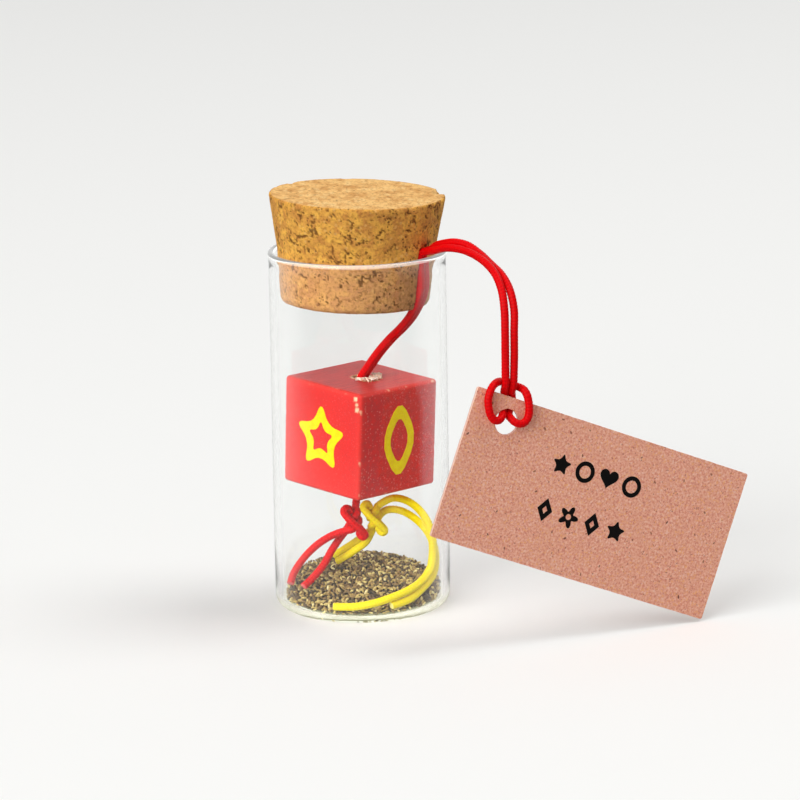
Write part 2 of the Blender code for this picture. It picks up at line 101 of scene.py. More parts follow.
def addNumbers(mesh, name, values):
    layer = mesh.attributes.get(name) or mesh.attributes.new(name, "FLOAT", "POINT")
    layer.data.foreach_set("value", np.asarray(values, dtype=np.float32))


def finished(piece, body, slotName, material, *replaced):
    piece.data.materials.clear()
    piece.data.materials.append(material)
    if replaced:
        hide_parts(*replaced)
    if body:
        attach(piece, body)


def withoutFaces(mesh, isUnwanted):
    # takes out the faces whose normal is unwanted
    shape = bmesh.new()
    shape.from_mesh(mesh)
    unwanted = [face for face in shape.faces if isUnwanted(face.normal)]
    bmesh.ops.delete(shape, geom=unwanted, context="FACES")
    shape.to_mesh(mesh)
    shape.free()


# Helpers for materials

def newMaterial(name, colour, roughness):
    material = bpy.data.materials.new(name)
    material.use_nodes = True
    shader = material.node_tree.nodes["Principled BSDF"]
    shader.inputs["Base Color"].default_value = colour
    shader.inputs["Roughness"].default_value = roughness
    return material, material.node_tree, shader


def addNode(tree, kind, inputs=None, **settings):
    made = tree.nodes.new(kind)
    for key, value in settings.items():
        setattr(made, key, value)
    for key, value in (inputs or {}).items():
        made.inputs[key].default_value = value
    return made


def mixColours(tree, factor, first, second, blend="MIX"):
    # first and second are sockets or plain colours, factor is a socket or a number
    mix = addNode(tree, "ShaderNodeMix", data_type="RGBA", blend_type=blend)
    for socket, value in ((mix.inputs[0], factor), (mix.inputs[6], first), (mix.inputs[7], second)):
        if isinstance(value, bpy.types.NodeSocket):
            tree.links.new(value, socket)
        else:
            socket.default_value = value
    return mix.outputs[2]


def rescaled(tree, value, fromLow, fromHigh, toLow=0.0, toHigh=1.0):
    change = addNode(tree, "ShaderNodeMapRange", {1: fromLow, 2: fromHigh, 3: toLow, 4: toHigh})
    tree.links.new(value, change.inputs[0])
    return change.outputs[0]


def objectPlace(tree, turn=(0.0, 0.0, 0.0), stretch=(1.0, 1.0, 1.0)):
    # object coordinates in millimetres, turned and stretched for a pattern
    where = addNode(tree, "ShaderNodeTexCoord")
    mapping = addNode(tree, "ShaderNodeMapping", vector_type="TEXTURE")
    mapping.inputs["Rotation"].default_value = turn
    mapping.inputs["Scale"].default_value = [mm * s for s in stretch]
    tree.links.new(where.outputs["Object"], mapping.inputs["Vector"])
    return mapping.outputs["Vector"]


def attribute(tree, name):
    return addNode(tree, "ShaderNodeAttribute", attribute_name=name).outputs["Fac"]


def linked(tree, *pairs):
    for source, target in pairs:
        tree.links.new(source, target)


def tinted(tree, base, mask, amount, over):
    # lays a colour over the base, as strongly as amount where the mask is 1
    return mixColours(tree, rescaled(tree, mask, 0.0, 1.0, 0.0, amount), base, over)


def bumpFrom(tree, shader, height, distance, strength=1.0):
    bump = addNode(tree, "ShaderNodeBump", {"Strength": strength, "Distance": distance})
    tree.links.new(height, bump.inputs["Height"])
    tree.links.new(bump.outputs["Normal"], shader.inputs["Normal"])


def openGroup(name, inputs, outputs):
    group = bpy.data.node_groups.new(name, "ShaderNodeTree")
    for socketName, kind, value in inputs:
        socket = group.interface.new_socket(socketName, in_out="INPUT", socket_type=kind)
        if value is not None:
            socket.default_value = value
    for socketName, kind in outputs:
        group.interface.new_socket(socketName, in_out="OUTPUT", socket_type=kind)
    return group, group.nodes.new("NodeGroupInput"), group.nodes.new("NodeGroupOutput")


def makeMottleGroup():
    # broad and fine cloudiness, as a mask from 0 to 1
    group, start, end = openGroup(
        "mottle",
        [("Vector", "NodeSocketVector", None), ("Size", "NodeSocketFloat", 1.0),
         ("Low", "NodeSocketFloat", 0.35), ("High", "NodeSocketFloat", 0.65)],
        [("Mask", "NodeSocketFloat"), ("Height", "NodeSocketFloat")])
    divide = addNode(group, "ShaderNodeMath", {0: 1.0}, operation="DIVIDE")
    cloud = addNode(group, "ShaderNodeTexNoise", {"Detail": 5.0, "Roughness": 0.6})
    spread = addNode(group, "ShaderNodeMapRange")
    linked(group,
           (start.outputs["Size"], divide.inputs[1]),
           (start.outputs["Vector"], cloud.inputs["Vector"]),
           (divide.outputs[0], cloud.inputs["Scale"]),
           (cloud.outputs["Fac"], spread.inputs[0]),
           (start.outputs["Low"], spread.inputs[1]),
           (start.outputs["High"], spread.inputs[2]),
           (spread.outputs[0], end.inputs["Mask"]),
           (cloud.outputs["Fac"], end.inputs["Height"]))
    return group


def makeSpeckGroup():
    # small scattered specks: Reach is how much of a cell a speck fills, Share how many cells have one
    group, start, end = openGroup(
        "specks",
        [("Vector", "NodeSocketVector", None), ("Size", "NodeSocketFloat", 1.0),
         ("Reach", "NodeSocketFloat", 0.3), ("Share", "NodeSocketFloat", 0.3)],
        [("Mask", "NodeSocketFloat")])
    divide = addNode(group, "ShaderNodeMath", {0: 1.0}, operation="DIVIDE")
    wobble = addNode(group, "ShaderNodeTexNoise", {"Detail": 2.0})
    shift = addNode(group, "ShaderNodeVectorMath", {"Scale": 0.5}, operation="SCALE")
    add = addNode(group, "ShaderNodeVectorMath", operation="ADD")
    cells = addNode(group, "ShaderNodeTexVoronoi")
    near = addNode(group, "ShaderNodeMath", operation="LESS_THAN")
    split = addNode(group, "ShaderNodeSeparateColor")
    some = addNode(group, "ShaderNodeMath", operation="LESS_THAN")
    both = addNode(group, "ShaderNodeMath", operation="MULTIPLY")
    linked(group,
           (start.outputs["Size"], divide.inputs[1]),
           (start.outputs["Vector"], wobble.inputs["Vector"]),
           (divide.outputs[0], wobble.inputs["Scale"]),
           (wobble.outputs["Color"], shift.inputs[0]),
           (start.outputs["Vector"], add.inputs[0]),
           (shift.outputs[0], add.inputs[1]),
           (add.outputs[0], cells.inputs["Vector"]),
           (divide.outputs[0], cells.inputs["Scale"]),
           (cells.outputs["Distance"], near.inputs[0]),
           (start.outputs["Reach"], near.inputs[1]),
           (cells.outputs["Color"], split.inputs[0]),
           (split.outputs[0], some.inputs[0]),
           (start.outputs["Share"], some.inputs[1]),
           (near.outputs[0], both.inputs[0]),
           (some.outputs[0], both.inputs[1]),
           (both.outputs[0], end.inputs["Mask"]))
    return group


mottleGroup = makeMottleGroup()
speckGroup = makeSpeckGroup()


def mottle(tree, place, size, low=0.35, high=0.65):
    # cloudy patches of a size in millimetres, as a mask and a height
    made = addNode(tree, "ShaderNodeGroup", {"Size": size, "Low": low, "High": high},
                   node_tree=mottleGroup)
    tree.links.new(place, made.inputs["Vector"])
    return made.outputs["Mask"], made.outputs["Height"]


def specks(tree, place, size, reach, share):
    # small specks, with cells of a size in millimetres, as a mask
    made = addNode(tree, "ShaderNodeGroup", {"Size": size, "Reach": reach, "Share": share},
                   node_tree=speckGroup)
    tree.links.new(place, made.inputs["Vector"])
    return made.outputs["Mask"]


# The camera

cameraPlan = {
    "place": (0.0, -0.620529, 0.171115),  # metres
    "turn": (77.1525, 0.8669, -0.7248),   # degrees
    "lens": 202.24,
    "sensor": 36.0,
    "farthest": 20.0,
}

cameraData = bpy.data.cameras.new("studioCamera")
cameraData.sensor_width = cameraPlan["sensor"]
cameraData.lens = cameraPlan["lens"]
cameraData.clip_end = cameraPlan["farthest"]
camera = newObject("studioCamera", cameraData)
camera.location = cameraPlan["place"]
camera.rotation_euler = Euler([math.radians(a) for a in cameraPlan["turn"]])
bpy.context.scene.camera = camera


# The cords: their routes are those of the solids

cordPlan = {
    "diameter": 1.0 * mm,
    "plump": 1.1,             # the soft braid looks a little fuller than its measure
    "spanSteps": 24,          # fine points from one point of a route to the next
    "ringStep": 0.09 * mm,
    "sides": 24,
    "bumpsRound": 3,          # bumps in half a turn of the braid
    "bumpStep": 0.46 * mm,    # along the cord
    "relief": 0.06,           # share of the radius
    "braidMiddle": 0.35,      # the braid's wave is set out from here
    "cutRings": ((0.9, 0.1), (0.62, 0.16)),   # how wide and how far out, in radii
    "cutLift": 0.16,          # the middle of a cut end, in radii
    "blendShare": 0.94,       # of the way from the rim to the hitch
    "pathStep": 8,            # every so many rings give the path that is declared
    # the deep colour is also the painted shade in the braid's gaps
    "red": (linear(234, 3, 10), linear(184, 0, 8), linear(240, 110, 110)),   # light, deep and cut
    "yellow": (linear(255, 240, 14), linear(248, 208, 4), linear(255, 246, 150)),
    "roughness": 0.42,
}
knotPlan = {
    "coreRadius": 0.63 * mm,
    "coreHeight": 3.375 * mm,
    "loopReach": 1.76 * mm,
    "turn": math.radians(450),
    "turnStep": math.radians(45),
    "startAngle": math.radians(45),
    "lean": math.radians(-8),
    "redCentre": (-1.05, -0.75, 12.3),      # in mm
    "redTurnOut": math.radians(360),
    "yellowCentre": (1.75, -0.2, 12.75),
    "yellowTurnOut": math.radians(450),
}
tagPlan = {
    "length": 44.7 * mm,
    "height": 21.4 * mm,
    "thickness": 0.5 * mm,
    "holeDiameter": 3.6 * mm,
    "holeFromEnd": 5.75 * mm,
    "holeFromTop": 3.4 * mm,
    "cornerRadius": 0.3 * mm,
    "turn": 24.5,             # degrees
    "lean": -3.5,
    "swing": 22.3,
    "hole": (19.9 * mm, -23.4 * mm),
    "floorGap": 0.3 * mm,
}

# points of each route, in mm: over the rim, down inside, out below the knots and along the wall
redArchA = [
    (19.87, -22.9, 47.1), (19.58, -21.8, 49.5), (18.89, -20.1, 51.3), (17.85, -18.0, 52.4),
    (16.4, -15.5, 53.15), (14.8, -13.3, 53.55), (13.5, -11.85, 53.6), (12.1, -10.4, 53.4),
    (10.85, -9.0, 52.85), (9.64, -7.1, 52.3),
]
redArchB = [
    (21.2, -22.3, 47.0), (20.71, -21.25, 49.45), (19.76, -19.3, 51.1), (18.21, -16.54, 52.3),
    (16.86, -13.95, 53.2), (15.22, -12.16, 54.08), (13.53, -10.65, 54.25), (12.1, -9.2, 53.85),
    (11.08, -7.7, 53.28), (10.25, -6.17, 52.4),
]
redFallA = [
    (9.02, -6.68, 52.12), (8.6, -6.4, 51.45), (8.52, -6.34, 50.3), (8.52, -6.34, 48.4),
    (8.45, -6.3, 46.8), (8.15, -6.1, 45.4), (7.65, -5.8, 44.1), (6.9, -5.3, 42.6),
    (5.75, -4.5, 41.0), (4.25, -3.5, 39.3), (2.5, -2.35, 37.0), (1.15, -1.45, 34.9),
    (0.3, -0.95, 33.5), (-0.1, -0.7, 32.0), (-0.2, -0.6, 29.0), (-0.3, -0.5, 25.4),
    (-0.4, -0.42, 21.5), (-0.5, -0.35, 18.0), (-0.7, -0.15, 15.7),
]
redFallB = [
    (9.63, -5.77, 52.12), (9.2, -5.48, 51.45), (9.13, -5.43, 50.3), (9.13, -5.43, 48.4),
    (9.06, -5.38, 46.8), (8.76, -5.2, 45.4), (8.26, -4.88, 44.1), (7.5, -4.38, 42.6),
    (6.35, -3.6, 41.0), (4.85, -2.6, 39.3), (3.1, -1.4, 37.0), (1.75, -0.5, 34.9),
    (0.9, 0.0, 33.5), (0.5, 0.25, 32.0), (0.3, 0.42, 29.0), (0.05, 0.6, 25.4),
    (-0.2, 0.7, 21.5), (-0.4, 0.8, 18.0), (-0.55, 1.0, 16.2), (-0.8, 1.1, 14.3),
    (-1.3, 1.15, 12.3), (-2.2, 0.95, 10.7), (-3.3, 0.3, 9.4), (-4.4, -0.3, 7.9),
    (-5.5, -1.2, 6.1), (-7.0, -2.4, 4.5), (-8.3, -3.5, 3.5),
]
redTailA = [
    (-2.3, -0.95, 10.95), (-3.3, -0.85, 10.65), (-4.6, -0.8, 10.1), (-6.3, -0.7, 9.0),
    (-8.2, -0.5, 7.1), (-9.85, -1.0, 4.75), (-10.25, -2.0, 3.55),
]
yellowLongA = [
    (-4.0, -9.65, 2.2), (-1.2, -10.35, 2.35), (1.6, -10.3, 2.8), (4.2, -9.5, 3.45),
    (6.6, -8.05, 4.15), (8.35, -6.2, 5.05), (9.4, -4.6, 6.3), (9.75, -3.9, 8.2),
    (9.7, -3.75, 10.2), (9.24, -3.2, 12.4), (8.45, -2.5, 13.8), (7.3, -1.8, 14.85),
    (5.8, -1.1, 15.5), (4.4, -0.55, 15.5), (3.2, -0.1, 14.9),
]
yellowTailA = [
    (1.1, 0.35, 9.9), (0.6, 0.45, 9.0), (-0.1, 0.7, 8.3), (-0.9, 0.95, 7.7),
    (-2.0, 1.35, 6.85), (-2.9, 1.7, 6.2), (-3.6, 2.1, 5.7),
]
yellowRouteB = [
    (3.9, -9.65, 2.2), (6.4, -8.2, 2.75), (8.35, -6.2, 3.9), (9.6, -4.15, 4.95),
    (10.1, -3.0, 6.2), (10.15, -2.6, 8.0), (9.75, -2.3, 9.8), (8.9, -1.7, 11.3),
    (7.6, -0.8, 12.5), (6.2, 0.05, 13.25), (4.8, 0.65, 13.55), (3.4, 1.15, 13.3),
    (2.4, 1.55, 12.3), (1.85, 1.65, 11.0), (1.2, 1.75, 10.2), (0.4, 1.9, 9.6),
    (-0.4, 2.15, 8.9), (-1.4, 2.55, 8.1), (-2.5, 3.1, 7.25), (-3.5, 3.6, 6.5),
    (-4.1, 3.9, 6.1),
]
# from the hole's centre: right along the tag's plane, out to the viewer and up
hitchRoute = [
    (-0.05, 0.72, 9.6), (-0.05, 0.6, 7.7), (-0.05, 0.5, 6.3), (0.0, 0.42, 5.4),
    (0.05, 0.05, 4.7), (0.15, -0.45, 4.1), (0.35, -0.85, 3.5), (0.45, -1.1, 2.8),
    (0.35, -1.1, 2.1), (0.0, -0.88, 1.52), (-0.35, -0.2, 1.1), (-0.8, 0.5, 0.85),
    (-1.5, 1.0, 0.5), (-2.3, 1.15, 0.6), (-2.85, 1.15, 1.35), (-3.05, 1.1, 2.35),
    (-3.05, 1.0, 3.4), (-2.75, 0.9, 4.3), (-2.2, 0.63, 5.05), (-1.35, -0.03, 5.42),
    (-0.4, -0.72, 5.47), (0.4, -1.05, 5.28), (1.25, -1.05, 4.92), (1.8, -1.08, 4.7),
    (2.28, -0.7, 4.5), (2.6, -0.12, 4.32), (2.8, 0.38, 4.05), (2.96, 0.82, 3.45),
    (3.07, 1.0, 2.6), (3.08, 1.1, 1.6), (2.92, 1.15, 0.65), (2.4, 1.15, -0.1), (1.6, 1.15, -0.35),
    (0.95, 0.95, -0.1), (0.65, 0.5, 0.3), (0.65, -0.35, 0.72), (1.0, -0.92, 1.15),
    (1.42, -1.1, 1.9), (1.54, -1.1, 2.45), (1.53, -0.92, 3.0), (1.4, -0.72, 3.62),
    (1.18, -0.28, 4.08), (1.15, 0.25, 4.75), (1.17, 0.5, 5.7), (1.22, 0.6, 7.0),
    (1.32, 0.72, 9.6),
]


def inMm(points):
    return [Vector(p) * mm for p in points]


def smoothRoute(points):
    # a curve through all points that doesn't overshoot between near ones
    perSpan = cordPlan["spanSteps"]
    first = points[0] * 2 - points[1]
    last = points[-1] * 2 - points[-2]
    padded = [first] + list(points) + [last]
    curve = []
    for i in range(1, len(padded) - 2):
        p0, p1, p2, p3 = padded[i - 1:i + 3]
        t1 = (p1 - p0).length ** 0.5
        t2 = t1 + (p2 - p1).length ** 0.5
        t3 = t2 + (p3 - p2).length ** 0.5
        for step in range(perSpan):
            t = t1 + (t2 - t1) * step / perSpan
            a1 = p0 * ((t1 - t) / t1) + p1 * (t / t1)
            a2 = p1 * ((t2 - t) / (t2 - t1)) + p2 * ((t - t1) / (t2 - t1))
            a3 = p2 * ((t3 - t) / (t3 - t2)) + p3 * ((t - t2) / (t3 - t2))
            b1 = a1 * ((t2 - t) / t2) + a2 * (t / t2)
            b2 = a2 * ((t3 - t) / (t3 - t1)) + a3 * ((t - t1) / (t3 - t1))
            curve.append(b1 * ((t2 - t) / (t2 - t1)) + b2 * ((t - t1) / (t2 - t1)))
    curve.append(points[-1])
    return curve


def overhand(centre, skipped, turnOut):
    # two passes twisted round each other, and the loop that joins them across the front
    plan = knotPlan
    centre = Vector(centre) * mm
    half = plan["coreHeight"] / 2
    fall = plan["coreHeight"] / plan["turn"]
    footAngle = plan["startAngle"] - plan["turn"]
    headAngle = plan["startAngle"] + math.pi
    crossing = (headAngle - footAngle) % (2 * math.pi) - 2 * math.pi
    loopRadius = (plan["loopReach"] - plan["coreRadius"]) / 2
    loopMiddle = plan["coreRadius"] + loopRadius

    def polar(angle, reach, height):
        return Vector((reach * math.cos(angle), reach * math.sin(angle), height))

    def corePass(startAngle, turn):
        count = round(turn / plan["turnStep"])
        turned = [turn * i / count for i in range(count + 1)]
        return [polar(startAngle - t, plan["coreRadius"], half - fall * t) for t in turned]

    def loopEnd(angle, side, degrees):
        turn = math.radians(degrees)
        reach = loopMiddle + loopRadius * math.cos(turn)
        return polar(angle, reach, side * half + loopRadius * math.sin(turn))

    points = corePass(plan["startAngle"], plan["turn"])[skipped:]
    points += [loopEnd(footAngle, -1, degrees) for degrees in (-140, -100, -60, -20)]
    for share in (0.3, 0.5, 0.7):
        points.append(polar(footAngle + crossing * share, plan["loopReach"], (2 * share - 1) * half))
    points += [loopEnd(footAngle + crossing, 1, degrees) for degrees in (20, 60, 100, 140)]
    points += corePass(headAngle, turnOut)
    lean = Matrix.Rotation(plan["lean"], 3, "Y")
    return [centre + lean @ point for point in points]


tagPlane = (Matrix.Rotation(math.radians(tagPlan["turn"]), 4, "Z")
            @ Matrix.Rotation(math.radians(tagPlan["lean"]), 4, "X"))
tagSwing = Matrix.Rotation(math.radians(tagPlan["swing"]), 4, "Y")
tagCorner = tagPlane @ tagSwing @ Vector((tagPlan["length"] - tagPlan["holeFromEnd"], 0.0,
                                          tagPlan["holeFromTop"] - tagPlan["height"]))
tagHole = Vector((*tagPlan["hole"], tagPlan["floorGap"] - tagCorner.z))


def evenly(curve, step):
    # points at even steps along a fine curve, and the place of each in it
    run = [0.0]
    for i in range(1, len(curve)):
        run.append(run[-1] + (curve[i] - curve[i - 1]).length)
    count = max(2, round(run[-1] / step))
    wanted = np.linspace(0.0, run[-1], count + 1)
    flat = np.array([tuple(p) for p in curve])
    places = np.stack([np.interp(wanted, run, flat[:, k]) for k in range(3)], axis=1)
    return places, wanted, np.array(run)


def turnedFrames(places):
    # a frame at each point that doesn't twist about the line
    ahead = np.gradient(places, axis=0)
    ahead /= np.linalg.norm(ahead, axis=1)[:, None]
    side = np.cross(ahead[0], (0.0, 0.0, 1.0))
    if np.linalg.norm(side) < 0.1:
        side = np.cross(ahead[0], (1.0, 0.0, 0.0))
    side /= np.linalg.norm(side)
    sides = [side]
    for i in range(1, len(places)):
        side = sides[-1] - ahead[i] * np.dot(sides[-1], ahead[i])
        sides.append(side / np.linalg.norm(side))
    sides = np.array(sides)
    return ahead, sides, np.cross(ahead, sides)


cutWeave = 2.0   # the weave attribute on a cut end, out of the braid's own range


class Cord:
    # one whole cord: its even points, frames and lengths, from which stretches are made

    def __init__(self, control, cuts=()):
        fine = smoothRoute(control)
        self.places, self.run, fineRun = evenly(fine, cordPlan["ringStep"])
        self.ahead, self.side, self.up = turnedFrames(self.places)
        spanSteps = cordPlan["spanSteps"]
        self.cuts = [int(np.argmin(abs(self.run - fineRun[index * spanSteps]))) for index in cuts]

    def stretch(self, name, first, last, openStart, openEnd):
        # the cord from one ring to another, with a cut end where it is open
        plan = cordPlan
        sides = plan["sides"]
        radius = plan["diameter"] / 2 * plan["plump"]
        angles = np.arange(sides) * 2 * math.pi / sides
        points = []
        weave = []
        for i in range(first, last + 1):
            along = math.pi * self.run[i] / plan["bumpStep"]
            bumps = plan["bumpsRound"] * angles
            braid = np.cos(bumps + along) * np.cos(bumps - along)
            reach = radius * (1 + plan["relief"] * (braid - plan["braidMiddle"]))
            ring = (self.places[i] + reach[:, None] * (np.cos(angles)[:, None] * self.side[i]
                                                       + np.sin(angles)[:, None] * self.up[i]))
            points.extend(ring)
            weave.extend(braid)
        rings = last - first + 1
        faces = []
        for i in range(rings - 1):
            for k in range(sides):
                n = (k + 1) % sides
                faces.append((i * sides + k, i * sides + n, (i + 1) * sides + n, (i + 1) * sides + k))
        for atEnd, isCut in ((False, openStart), (True, openEnd)):
            index = last if atEnd else first
            base = (rings - 1) * sides if atEnd else 0
            outward = self.ahead[index] * (1 if atEnd else -1)
            previous = list(range(base, base + sides))
            # a cut end is a little domed and frayed, an end inside the pinch is flat
            for shrink, lift in plan["cutRings"] if isCut else ():
                start = len(points)
                for k in range(sides):
                    out = np.cos(angles[k]) * self.side[index] + np.sin(angles[k]) * self.up[index]
                    # threads stand out unevenly
                    rough = 0.07 * math.sin(5 * angles[k] + 1.3) + 0.05 * math.sin(9 * angles[k])
                    points.append(self.places[index] + out * radius * shrink
                                  + outward * radius * (lift + rough))
                    weave.append(cutWeave)
                current = list(range(start, start + sides))
                for k in range(sides):
                    n = (k + 1) % sides
                    quad = (previous[k], previous[n], current[n], current[k])
                    faces.append(quad if atEnd else quad[::-1])
                previous = current
            centre = len(points)
            points.append(self.places[index] + outward * radius * (plan["cutLift"] if isCut else 0.0))
            weave.append(cutWeave if isCut else 0.0)
            for k in range(sides):
                n = (k + 1) % sides
                face = (previous[k], previous[n], centre)
                faces.append(face if atEnd else face[::-1])
        mesh = meshFrom(name, points, faces)
        addNumbers(mesh, "weave", weave)
        return newObject(name, mesh), self.places[first:last + 1]


def makeThread(name, colours):
    # braided cord: the weave attribute is low between strands and 2 on a cut end
    light, deep, cutColour = colours
    material, tree, shader = newMaterial(name, light, cordPlan["roughness"])
    weave = attribute(tree, "weave")
    place = objectPlace(tree)
    # painted shade: the gaps between the braid's strands are darkened towards the deep colour
    gapShade = rescaled(tree, weave, -0.9, 0.1, 0.6, 0.0)
    shade, _ = mottle(tree, place, size=2.5, low=0.3, high=0.7)
    base = mixColours(tree, gapShade, light, deep)
    soft = mixColours(tree, shade, base, deep)
    base = mixColours(tree, 0.2, base, soft)
    ends = rescaled(tree, weave, 1.3, 1.9)
    colour = mixColours(tree, ends, base, cutColour)
    tree.links.new(colour, shader.inputs["Base Color"])
    _, fine = mottle(tree, place, size=0.12)
    bumpFrom(tree, shader, fine, distance=0.02 * mm, strength=0.5)
    shader.inputs["Specular IOR Level"].default_value = 0.08
    return material


redThread = makeThread("redThread", cordPlan["red"])
yellowThread = makeThread("yellowThread", cordPlan["yellow"])

hitchPoints = [tagHole + tagPlane @ Vector((right * mm, -out * mm, up * mm))
               for right, out, up in hitchRoute]
riseStart = Vector((0.0, 0.0, 0.3 * mm))
riseEnd = Vector((0.0, 0.0, 2.6 * mm))
# the red cord is one length: a tail, knot and fall, over the rim, the hitch, and back the same way
strandA = ([hitchPoints[0] + riseStart, hitchPoints[0] + riseEnd] + inMm(redArchA + redFallA)
           + overhand(knotPlan["redCentre"], 0, knotPlan["redTurnOut"]) + inMm(redTailA))
strandB = [hitchPoints[-1] + riseStart, hitchPoints[-1] + riseEnd] + inMm(redArchB + redFallB)
wholeRed = strandA[::-1] + hitchPoints + strandB
rimA = len(strandA) - 1 - (2 + len(redArchA) - 1)
rimB = len(strandA) + len(hitchPoints) + 2 + len(redArchB) - 1
redCord = Cord(wholeRed, (rimA, rimB))
cutA, cutB = redCord.cuts
lastRing = len(redCord.places) - 1

fallA, pathA = redCord.stretch("redStrandA", 0, cutA, True, False)
loop, loopPath = redCord.stretch("redLoop", cutA, cutB, False, False)
fallB, pathB = redCord.stretch("redStrandB", cutB, lastRing, False, True)
finished(fallA, "vial", "red_cord", redThread, "red_inner_a")
finished(fallB, "vial", "red_cord", redThread, "red_inner_b")
finished(loop, None, "red_cord", redThread, "red_outer_a", "red_outer_b", "tag_hitch")
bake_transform(loop)

yellowKnot = overhand(knotPlan["yellowCentre"], 1, knotPlan["yellowTurnOut"])
longYellow = inMm(yellowLongA) + yellowKnot + inMm(yellowTailA)
yellowCordA = Cord(longYellow)
yellowCordB = Cord(inMm(yellowRouteB))
lastA = len(yellowCordA.places) - 1
lastB = len(yellowCordB.places) - 1
yellowA, yellowPathA = yellowCordA.stretch("yellowStrandA", 0, lastA, True, True)
yellowB, yellowPathB = yellowCordB.stretch("yellowStrandB", 0, lastB, True, True)
finished(yellowA, "vial", "yellow_cord", yellowThread, "yellow_cord_a")
finished(yellowB, "vial", "yellow_cord", yellowThread, "yellow_cord_b")


# The glass vial

glassPlan = {
    "radius": 12.5 * mm,
    "height": 51.5 * mm,
    "wall": 1.0 * mm,
    "base": 0.8 * mm,
    "heel": 2.0 * mm,
    "innerHeel": 1.3 * mm,
    "rimBead": 0.12 * mm,
    "flare": 0.24 * mm,       # how far the mouth opens inside, just under the lip
    "punt": 0.25 * mm,        # how far the underside is drawn up in the middle
    "dish": 0.1 * mm,         # the base is a little thicker in the middle
    "waver": 0.02 * mm,       # drawn tube is never quite even
    "waverSize": 9 * mm,
    "steps": 192,
    "clear": (0.992, 0.998, 0.994, 1.0),
    "heelTint": (0.95, 0.96, 0.9, 1.0),
    # painted light as emission: a glow in the heel and a highlight along the lip
    "heelPaintedGlow": (0.05, 0.05, 0.028, 1.0),
    "lipPaintedHighlight": (0.3, 0.3, 0.29, 1.0),
    "smear": 0.03,            # roughness where the glass isn't quite clean
    "letThrough": 0.92,       # share of the light that reaches what stands inside
    "mostBounces": 6.5,
}


def turnedMesh(name, profile, steps):
    # profile: (radius, height) points, the outer side last and downward, both ends on the axis
    points = [(0.0, 0.0, profile[0][1])]
    rings = profile[1:-1]
    for radius, height in rings:
        for k in range(steps):
            angle = 2 * math.pi * k / steps
            points.append((radius * math.cos(angle), radius * math.sin(angle), height))
    points.append((0.0, 0.0, profile[-1][1]))
    last = len(points) - 1
    faces = []
    for k in range(steps):
        n = (k + 1) % steps
        faces.append((0, 1 + k, 1 + n))
        base = 1 + (len(rings) - 1) * steps
        faces.append((last, base + n, base + k))
    for i in range(len(rings) - 1):
        for k in range(steps):
            n = (k + 1) % steps
            a = 1 + i * steps
            b = a + steps
            faces.append((a + k, b + k, b + n, a + n))
    return meshFrom(name, points, faces)


def arc(centre, radius, start, end, count):
    points = []
    for i in range(count + 1):
        angle = math.radians(start + (end - start) * i / count)
        points.append((centre[0] + radius * math.cos(angle), centre[1] + radius * math.sin(angle)))
    return points


def makeGlass():
    plan = glassPlan
    mouth = plan["radius"] - plan["wall"]
    lip = (plan["wall"] - plan["flare"]) / 2
    lipCentre = (plan["radius"] - lip, plan["height"] - lip)
    innerHeel = plan["innerHeel"]
    profile = [(0.0, plan["base"] + plan["dish"])]
    for share in (0.25, 0.5, 0.75, 0.9):
        profile.append((mouth * share, plan["base"] + plan["dish"] * (1 - share * share)))
    profile += arc((mouth - innerHeel, plan["base"] + innerHeel), innerHeel, -85, 0, 8)
    for share in (0.2, 0.5, 0.8, 0.93):
        profile.append((mouth, plan["height"] * share))
    # the mouth opens under the lip
    for down, share in ((2.6, 0.0), (2.0, 0.08), (1.5, 0.28), (1.0, 0.62), (0.6, 0.92)):
        profile.append((mouth + plan["flare"] * share, plan["height"] - down * mm))
    profile += arc(lipCentre, lip, 180, 90, 8)
    profile += arc((lipCentre[0] + plan["rimBead"], lipCentre[1]), lip, 75, -35, 8)
    profile.append((plan["radius"], plan["height"] - 1.9 * mm))
    for share in (0.9, 0.6, 0.3, 0.08):
        profile.append((plan["radius"], plan["height"] * share))
    profile += arc((plan["radius"] - plan["heel"], plan["heel"]), plan["heel"], 0, -90, 10)
    for share in (0.8, 0.6, 0.3):
        profile.append((plan["radius"] * share, plan["punt"] * (1 - (share / 0.86) ** 2)))
    profile.append((0.0, plan["punt"]))
    glass = newObject("vialGlass", turnedMesh("vialGlass", profile, plan["steps"]))
    for vertex in glass.data.vertices:
        wave = noise.noise(Vector(vertex.co) / plan["waverSize"])
        radial = Vector((vertex.co.x, vertex.co.y, 0.0))
        if radial.length > mouth * 0.5:
            vertex.co += radial.normalized() * wave * plan["waver"]
    heights = [vertex.co.z for vertex in glass.data.vertices]
    lipLow = plan["height"] - 0.6 * mm
    lipHigh = plan["height"] - 0.35 * mm
    addNumbers(glass.data, "heel", [stepBetween(2.4 * mm, 0.9 * mm, z) for z in heights])
    addNumbers(glass.data, "lip", [stepBetween(lipLow, lipHigh, z) for z in heights])
    return glass


